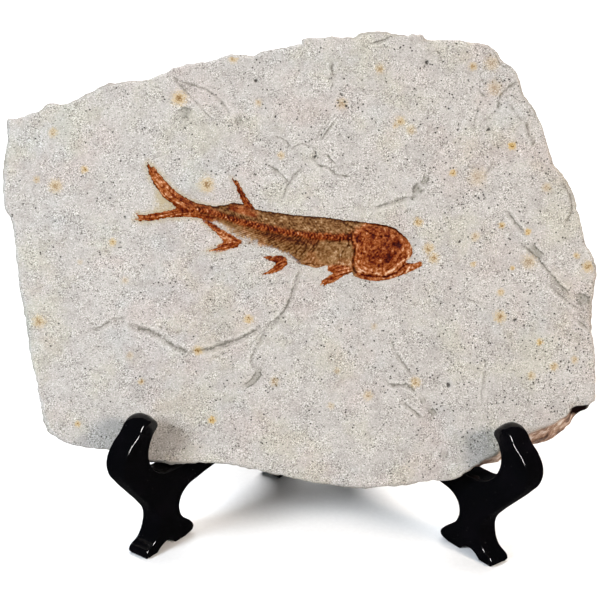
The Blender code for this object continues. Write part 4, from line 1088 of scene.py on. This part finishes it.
class Nodes:
    """Short ways to build one material's nodes."""

    def __init__(self, name):
        self.material = bpy.data.materials.new(name)
        self.material.use_nodes = True
        self.tree = self.material.node_tree
        self.shader = self.tree.nodes["Principled BSDF"]
        coords = self.tree.nodes.new("ShaderNodeTexCoord")
        self.place = self.scaled(coords.outputs["Object"], (1000, 1000, 1000))

    def put(self, socket, value):
        """Link a socket to another, or set its number or colour."""
        if isinstance(value, bpy.types.NodeSocket):
            self.tree.links.new(value, socket)
        else:
            socket.default_value = value

    def add(self, kind, settings, inputs):
        """A node with its settings and inputs; returns it."""
        node = self.tree.nodes.new(kind)
        for key, value in settings.items():
            setattr(node, key, value)
        for key, value in inputs.items():
            self.put(node.inputs[key], value)
        return node

    def scaled(self, vector, by):
        """A vector multiplied part by part."""
        return self.add("ShaderNodeVectorMath", {"operation": "MULTIPLY"},
                        {0: vector, 1: by}).outputs[0]

    def field(self, name):
        """One of the mesh's named numbers."""
        return self.add("ShaderNodeAttribute", {"attribute_name": name}, {}).outputs["Fac"]

    def noise(self, scale, detail=2.0, roughness=0.5, distortion=0.0, vector=None):
        """Noise from 0 to 1; scale is in bumps to a millimetre."""
        return self.add("ShaderNodeTexNoise", {}, {
            "Vector": vector or self.place, "Scale": scale, "Detail": detail,
            "Roughness": roughness, "Distortion": distortion}).outputs["Fac"]

    def cells(self, scale, vector=None):
        """Distance to the middle of the nearest cell; scale is in cells to a millimetre."""
        return self.add("ShaderNodeTexVoronoi", {}, {
            "Vector": vector or self.place, "Scale": scale}).outputs["Distance"]

    def calc(self, operation, a, b=0.0, c=0.0):
        """Arithmetic on one to three numbers."""
        return self.add("ShaderNodeMath", {"operation": operation},
                        {0: a, 1: b, 2: c}).outputs[0]

    def times(self, first, *others):
        """Several numbers multiplied together."""
        for other in others:
            first = self.calc("MULTIPLY", first, other)
        return first

    def shaken(self, value, noise, amount):
        """A number moved up or down by noise."""
        return self.calc("ADD", value, self.calc("MULTIPLY_ADD", noise, amount, -amount / 2))

    def step(self, value, low, high, to_low=0.0, to_high=1.0):
        """A smooth step between two values; low may be above high."""
        return self.add("ShaderNodeMapRange", {"interpolation_type": "SMOOTHSTEP"}, {
            "Value": value, "From Min": low, "From Max": high, "To Min": to_low,
            "To Max": to_high}).outputs[0]

    def mix(self, share, a, b, how="MIX"):
        """Mix two colours."""
        return self.add("ShaderNodeMix", {"data_type": "RGBA", "blend_type": how},
                        {0: share, 6: a, 7: b}).outputs[2]

    def specks(self, cells, far, near, noise, low, high):
        """Specks at the middles of cells, far to near being their soft rim, where the
        noise is over low."""
        return self.times(self.step(cells, far, near), self.step(noise, low, high))

    def paint(self, colour, share, amount, shade):
        """A colour painted over with a shade, as strongly as share times amount."""
        return self.mix(self.times(share, amount), colour, seen(*shade))

    def shades(self, value, *stops):
        """A run of colours, each stop as (place, colour)."""
        node = self.add("ShaderNodeValToRGB", {}, {"Fac": value})
        run = node.color_ramp.elements
        while len(run) < len(stops):
            run.new(0.5)
        for element, (place, colour) in zip(run, stops):
            element.position = place
            element.color = colour
        return node.outputs["Color"]

    def finish(self, colour, roughness, height, depth, specular=0.5):
        """Join colour, roughness and a bump height to the shader; returns the material.
        depth is how deep the bumps are, in millimetres."""
        self.put(self.shader.inputs["Specular IOR Level"], specular)
        self.put(self.shader.inputs["Base Color"], colour)
        self.put(self.shader.inputs["Roughness"], roughness)
        bump = self.add("ShaderNodeBump", {}, {"Strength": 1.0, "Distance": depth * MM,
                                               "Height": height})
        self.put(self.shader.inputs["Normal"], bump.outputs["Normal"])
        return self.material


PINK_TINT = (1.0, 0.955, 0.95, 1.0)
GREEN_TINT = (0.98, 0.985, 0.92, 1.0)
BLUE_TINT = (0.94, 0.975, 1.0, 1.0)
DULL_TINT = (0.88, 0.88, 0.88, 1.0)


def limestone(nodes):
    """Bare stone: pale sand with darker and paler grains, short dark flecks, and faint
    pink, green and blue clouds. Returns its colour and its bump height."""
    fine = nodes.noise(2.8, 2.0, 0.8)
    colour = nodes.shades(fine, (0.30, seen(84, 79, 72)), (0.41, seen(168, 163, 156)),
                          (0.50, seen(204, 199, 193)), (0.59, seen(222, 217, 211)),
                          (0.72, seen(276, 273, 268)))
    calm = nodes.step(nodes.noise(0.22, 3.0, 0.6), 0.40, 0.58, 0.0, 0.6)
    colour = nodes.mix(calm, colour, seen(206, 201, 195))
    for scale, low, high, amount, tint in (
            (0.050, 0.46, 0.64, 1.0, PINK_TINT), (0.062, 0.48, 0.64, 1.0, GREEN_TINT),
            (0.045, 0.52, 0.66, 0.8, BLUE_TINT), (0.12, 0.56, 0.38, 0.7, DULL_TINT),
            (0.36, 0.56, 0.36, 1.0, DULL_TINT)):
        cloud = nodes.step(nodes.noise(scale, 4.0, 0.65), low, high, 0.0, amount)
        colour = nodes.mix(cloud, colour, tint, "MULTIPLY")
    grains = nodes.specks(nodes.cells(2.0), 0.30, 0.16, nodes.noise(0.8, 1.0), 0.42, 0.52)
    long = nodes.scaled(nodes.place, (0.8, 1.4, 1.5))
    flecks = nodes.specks(nodes.cells(1.1, long), 0.26, 0.15, nodes.noise(0.9, 1.0), 0.44, 0.54)
    chosen = nodes.calc("ADD", nodes.noise(0.30, 2.0), nodes.field("pepper"))
    pepper = nodes.specks(nodes.cells(0.85), 0.24, 0.15, chosen, 0.53, 0.62)
    colour = nodes.paint(colour, grains, 0.6, (262, 260, 256))
    colour = nodes.paint(colour, flecks, 0.75, (104, 98, 91))
    colour = nodes.paint(colour, pepper, 0.9, (66, 61, 57))
    height = nodes.calc("SUBTRACT", nodes.calc("ADD", fine, nodes.times(grains, 0.3)), pepper)
    return colour, height


def paint_scrapes(nodes, colour, rough):
    """Smooth grey scrapes with dark rims. Returns the colour and where they are."""
    scrape = nodes.shaken(nodes.field("scrape"), rough, 0.9)
    strength = nodes.field("scrape_strength")
    inside = nodes.times(nodes.step(scrape, -0.08, 0.08), strength)
    rim = nodes.times(nodes.step(scrape, -0.20, -0.02), nodes.step(scrape, 0.22, 0.06), strength)
    colour = nodes.paint(colour, inside, 0.65, (142, 139, 128))
    return nodes.paint(colour, rim, 0.75, (96, 91, 82)), inside


def paint_ridges(nodes, colour):
    """Stained ridges: a grey body with a pale rim, and a dark line along one side that is both stain and
    painted shade of the ridge. Returns the colour and where the line is."""
    ridge = nodes.shaken(nodes.field("ridge"), nodes.noise(1.1, 4.0, 0.8), 2.0)
    strength = nodes.times(nodes.field("ridge_strength"),
                           nodes.step(nodes.noise(0.45, 3.0, 0.7), 0.36, 0.56, 0.35, 1.0))
    line = nodes.times(nodes.step(ridge, -0.10, 0.12), nodes.step(ridge, 0.62, 0.25), strength)
    reach = nodes.calc("ABSOLUTE", ridge)
    body = nodes.times(nodes.step(reach, 0.95, 0.35), strength)
    pale = nodes.times(nodes.step(reach, 0.7, 0.95), nodes.step(reach, 1.5, 1.15), strength)
    colour = nodes.paint(colour, body, 0.50, (164, 159, 149))
    # stain and painted shade: the dark line along one side of each ridge
    colour = nodes.paint(colour, line, 0.75, (104, 99, 90))
    return nodes.paint(colour, pale, 0.30, (242, 238, 231)), line


def paint_rust(nodes, colour):
    """Rust spots: a brown core in an orange ring."""
    rust = nodes.shaken(nodes.field("rust"), nodes.noise(2.2, 3.0, 0.75), 3.0)
    strength = nodes.field("rust_strength")
    ring = nodes.times(nodes.step(rust, 1.6, 0.4), strength)
    core = nodes.times(nodes.step(rust, 0.55, 0.15), strength)
    colour = nodes.paint(colour, ring, 0.75, (214, 184, 124))
    return nodes.paint(colour, core, 0.95, (126, 84, 36))


def paint_edge(nodes, colour):
    """Beds of the broken edge, some of them brown, and the painted shade of the recess under the
    right-hand tip. Returns the colour and how far the beds stand out."""
    depth = nodes.field("depth")
    flat = nodes.add("ShaderNodeCombineXYZ", {},
                     {"X": nodes.times(depth, 6.0), "Y": nodes.noise(0.08, 2.0)})
    beds = nodes.noise(0.25, 3.0, 0.6, vector=flat.outputs[0])
    side = nodes.step(depth, 0.15, 0.9)
    grey = nodes.times(side, nodes.step(beds, 0.30, 0.74, 0.15, 0.7))
    colour = nodes.mix(grey, colour, seen(160, 152, 138))
    down = nodes.add("ShaderNodeCombineXYZ", {}, {"Z": nodes.times(depth, 0.6)}).outputs[0]
    slow = nodes.add("ShaderNodeVectorMath", {"operation": "ADD"},
                     {0: nodes.scaled(nodes.place, (0.14, 0.14, 0.14)), 1: down})
    brown = nodes.shades(nodes.noise(1.6, 5.0, 0.75, vector=slow.outputs[0]),
                         (0.39, seen(80, 48, 34)), (0.46, seen(148, 106, 82)),
                         (0.53, seen(204, 168, 144)), (0.61, seen(250, 234, 220)))
    share = nodes.times(nodes.field("brown"), nodes.step(beds, 0.3, 0.6, 0.7, 0.9))
    colour = nodes.mix(share, colour, brown)
    # painted shade: the recess under the right-hand tip coloured near black
    colour = nodes.mix(nodes.field("hollow_shade"), colour, seen(22, 8, 6))
    return colour, nodes.times(beds, side, 2.5)


def slab_material():
    """Limestone with its halo round the fish, scrapes, ridges, rust, pits and edge."""
    nodes = Nodes("slab_limestone")
    colour, height = limestone(nodes)
    rough = nodes.noise(1.3, 3.0, 0.7)
    halo = nodes.times(nodes.field("halo"), nodes.noise(1.2, 4.0, 0.8))
    colour = nodes.mix(nodes.step(halo, 0.10, 0.50, 0.0, 0.8), colour, seen(186, 168, 128))
    colour, scrape = paint_scrapes(nodes, colour, rough)
    colour, line = paint_ridges(nodes, colour)
    colour = paint_rust(nodes, colour)
    pit = nodes.step(nodes.shaken(nodes.field("pit"), rough, 1.2), 0.95, 0.45)
    colour = nodes.paint(colour, pit, 0.9, (48, 44, 42))
    colour, relief = paint_edge(nodes, colour)
    height = nodes.calc("ADD", height, relief)
    height = nodes.calc("SUBTRACT", height, nodes.calc("ADD", nodes.times(line, 0.8), pit))
    roughness = nodes.step(scrape, 0.0, 1.0, 0.93, 0.80)
    return nodes.finish(colour, roughness, height, 0.12, specular=0.02)


def fossil_material():
    """Orange-brown bone and olive skin that give way to the bare stone."""
    nodes = Nodes("fish_fossil_bone")
    stone, stone_height = limestone(nodes)
    fine = nodes.noise(2.4, 2.0, 0.75)
    tone = nodes.shaken(nodes.field("tone"), fine, 0.75)
    bone = nodes.shades(tone, (0.0, seen(48, 2, 0)), (0.16, seen(86, 20, 0)),
                        (0.34, seen(118, 46, 10)), (0.50, seen(144, 72, 28)),
                        (0.66, seen(170, 98, 52)), (0.84, seen(204, 146, 104)),
                        (1.0, seen(240, 202, 168)))
    skin = nodes.shades(tone, (0.0, seen(52, 20, 0)), (0.18, seen(90, 52, 18)),
                        (0.38, seen(122, 82, 44)), (0.56, seen(144, 106, 66)),
                        (0.74, seen(168, 132, 92)), (0.90, seen(204, 176, 146)),
                        (1.0, seen(232, 216, 194)))
    colour = nodes.mix(nodes.field("olive"), bone, skin)
    patches = nodes.shaken(nodes.field("cover"), nodes.noise(1.2, 4.0, 0.75), 0.9)
    cover = nodes.step(patches, 0.10, 0.75)
    colour = nodes.mix(cover, stone, colour)
    height = nodes.calc("ADD", nodes.times(tone, 0.9), nodes.times(
        stone_height, nodes.calc("SUBTRACT", 1.1, cover)))
    roughness = nodes.step(cover, 0.0, 1.0, 0.92, 0.55)
    return nodes.finish(colour, roughness, height, 0.12, specular=0.02)


def plastic_material(name):
    """Glossy black moulded plastic with a faint orange peel and a little dust."""
    nodes = Nodes(name)
    dust = nodes.specks(nodes.cells(0.8), 0.10, 0.05, nodes.noise(0.5, 1.0), 0.56, 0.62)
    smear = nodes.step(nodes.noise(0.12, 3.0, 0.6), 0.45, 0.7)
    colour = nodes.mix(nodes.times(smear, 0.5), seen(7, 7, 9), seen(16, 13, 18))
    colour = nodes.paint(colour, dust, 0.45, (104, 100, 98))
    roughness = nodes.calc("ADD", nodes.times(smear, 0.08),
                           nodes.calc("MULTIPLY_ADD", dust, 0.5, 0.10))
    return nodes.finish(colour, roughness, nodes.noise(0.4, 2.0), 0.03, specular=0.25)


def floor_material():
    """Pale matt studio paper."""
    nodes = Nodes("studio_floor")
    fibres = nodes.noise(0.8, 3.0)
    colour = nodes.shades(fibres, (0.3, (0.70, 0.70, 0.70, 1.0)), (0.7, (0.73, 0.73, 0.73, 1.0)))
    return nodes.finish(colour, 0.9, fibres, 0.02)


# ------------------------------------------------------------------ camera, lights, floor

def add_camera():
    """A long lens at the photograph's viewing angle."""
    forward = Vector((math.sin(CAMERA_YAW) * math.cos(CAMERA_ELEVATION),
                      math.cos(CAMERA_YAW) * math.cos(CAMERA_ELEVATION),
                      -math.sin(CAMERA_ELEVATION)))
    right = Vector((math.cos(CAMERA_YAW), -math.sin(CAMERA_YAW), 0.0))
    turn = Matrix.Rotation(-CAMERA_ROLL, 3, forward)
    right = turn @ right
    upward = right.cross(forward)
    camera = bpy.data.objects.new("camera", bpy.data.cameras.new("camera"))
    bpy.context.scene.collection.objects.link(camera)
    camera.data.lens = CAMERA_LENS
    camera.data.sensor_width = 36.0
    camera.data.clip_end = 20.0
    place = (Vector(CAMERA_TARGET) - forward * CAMERA_DISTANCE) * MM
    rotation = Matrix((right, upward, -forward)).transposed()
    camera.matrix_world = Matrix.Translation(place) @ rotation.to_4x4()
    bpy.context.scene.camera = camera


def add_light(name, place, aim, width, height, power, colour):
    """A soft rectangular light that looks at a place; returns it."""
    lamp = bpy.data.lights.new(name, "AREA")
    lamp.shape = "RECTANGLE"
    lamp.size = width
    lamp.size_y = height
    lamp.energy = power
    lamp.color = colour
    light = bpy.data.objects.new(name, lamp)
    bpy.context.scene.collection.objects.link(light)
    light.location = place
    look = Vector(aim) - Vector(place)
    light.rotation_euler = look.to_track_quat("-Z", "Y").to_euler()
    return light


def add_studio():
    """Floor, faint light from all round and three soft lamps. The plastic mirrors only a
    tall strip above the camera, as thin lines along its edges."""
    mesh = bpy.data.meshes.new("floor")
    corners = [(x * FLOOR_REACH, y * FLOOR_REACH, 0.0)
               for x, y in ((-1, -1), (1, -1), (1, 1), (-1, 1))]
    mesh.from_pydata(corners, [], [(0, 1, 2, 3)])
    floor = new_object("floor", mesh, floor_material())
    floor.visible_glossy = False
    world = bpy.data.worlds.new("studio")
    bpy.context.scene.world = world
    world.use_nodes = True
    background = world.node_tree.nodes["Background"]
    background.inputs["Color"].default_value = (1.0, 1.0, 1.0, 1.0)
    background.inputs["Strength"].default_value = SKY_STRENGTH
    for lamp in LAMPS:
        add_light(*lamp).visible_glossy = False
    add_light(*STRIP).visible_diffuse = False


# -------------------------------------------------------------------------------- scene

def dress():
    """Make every visible piece and put it on its body."""
    plastic = plastic_material("stand_black_plastic")
    slab = build_slab(slab_material())
    fish = build_fish(fossil_material())
    left = build_panel("panel_left", -1, LEFT_KNUCKLES, plastic)
    right = build_panel("panel_right", 1, RIGHT_KNUCKLES, plastic)
    pin = build_pin(plastic_material("pin_black_plastic"))
    for piece, node, body, slot in (
            (slab, "slab", "slab_and_left_half", "limestone"),
            (fish, "fossil_fish", "slab_and_left_half", "fossil_bone"),
            (left, "stand_left", "slab_and_left_half", "stand_plastic"),
            (right, "stand_right", "right_half", "stand_plastic"),
            (pin, "hinge_pin", "slab_and_left_half", "pin_plastic")):
        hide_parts(node)
        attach(piece, body)


bpy.context.scene.view_settings.view_transform = "Standard"
dress()
add_studio()
add_camera()
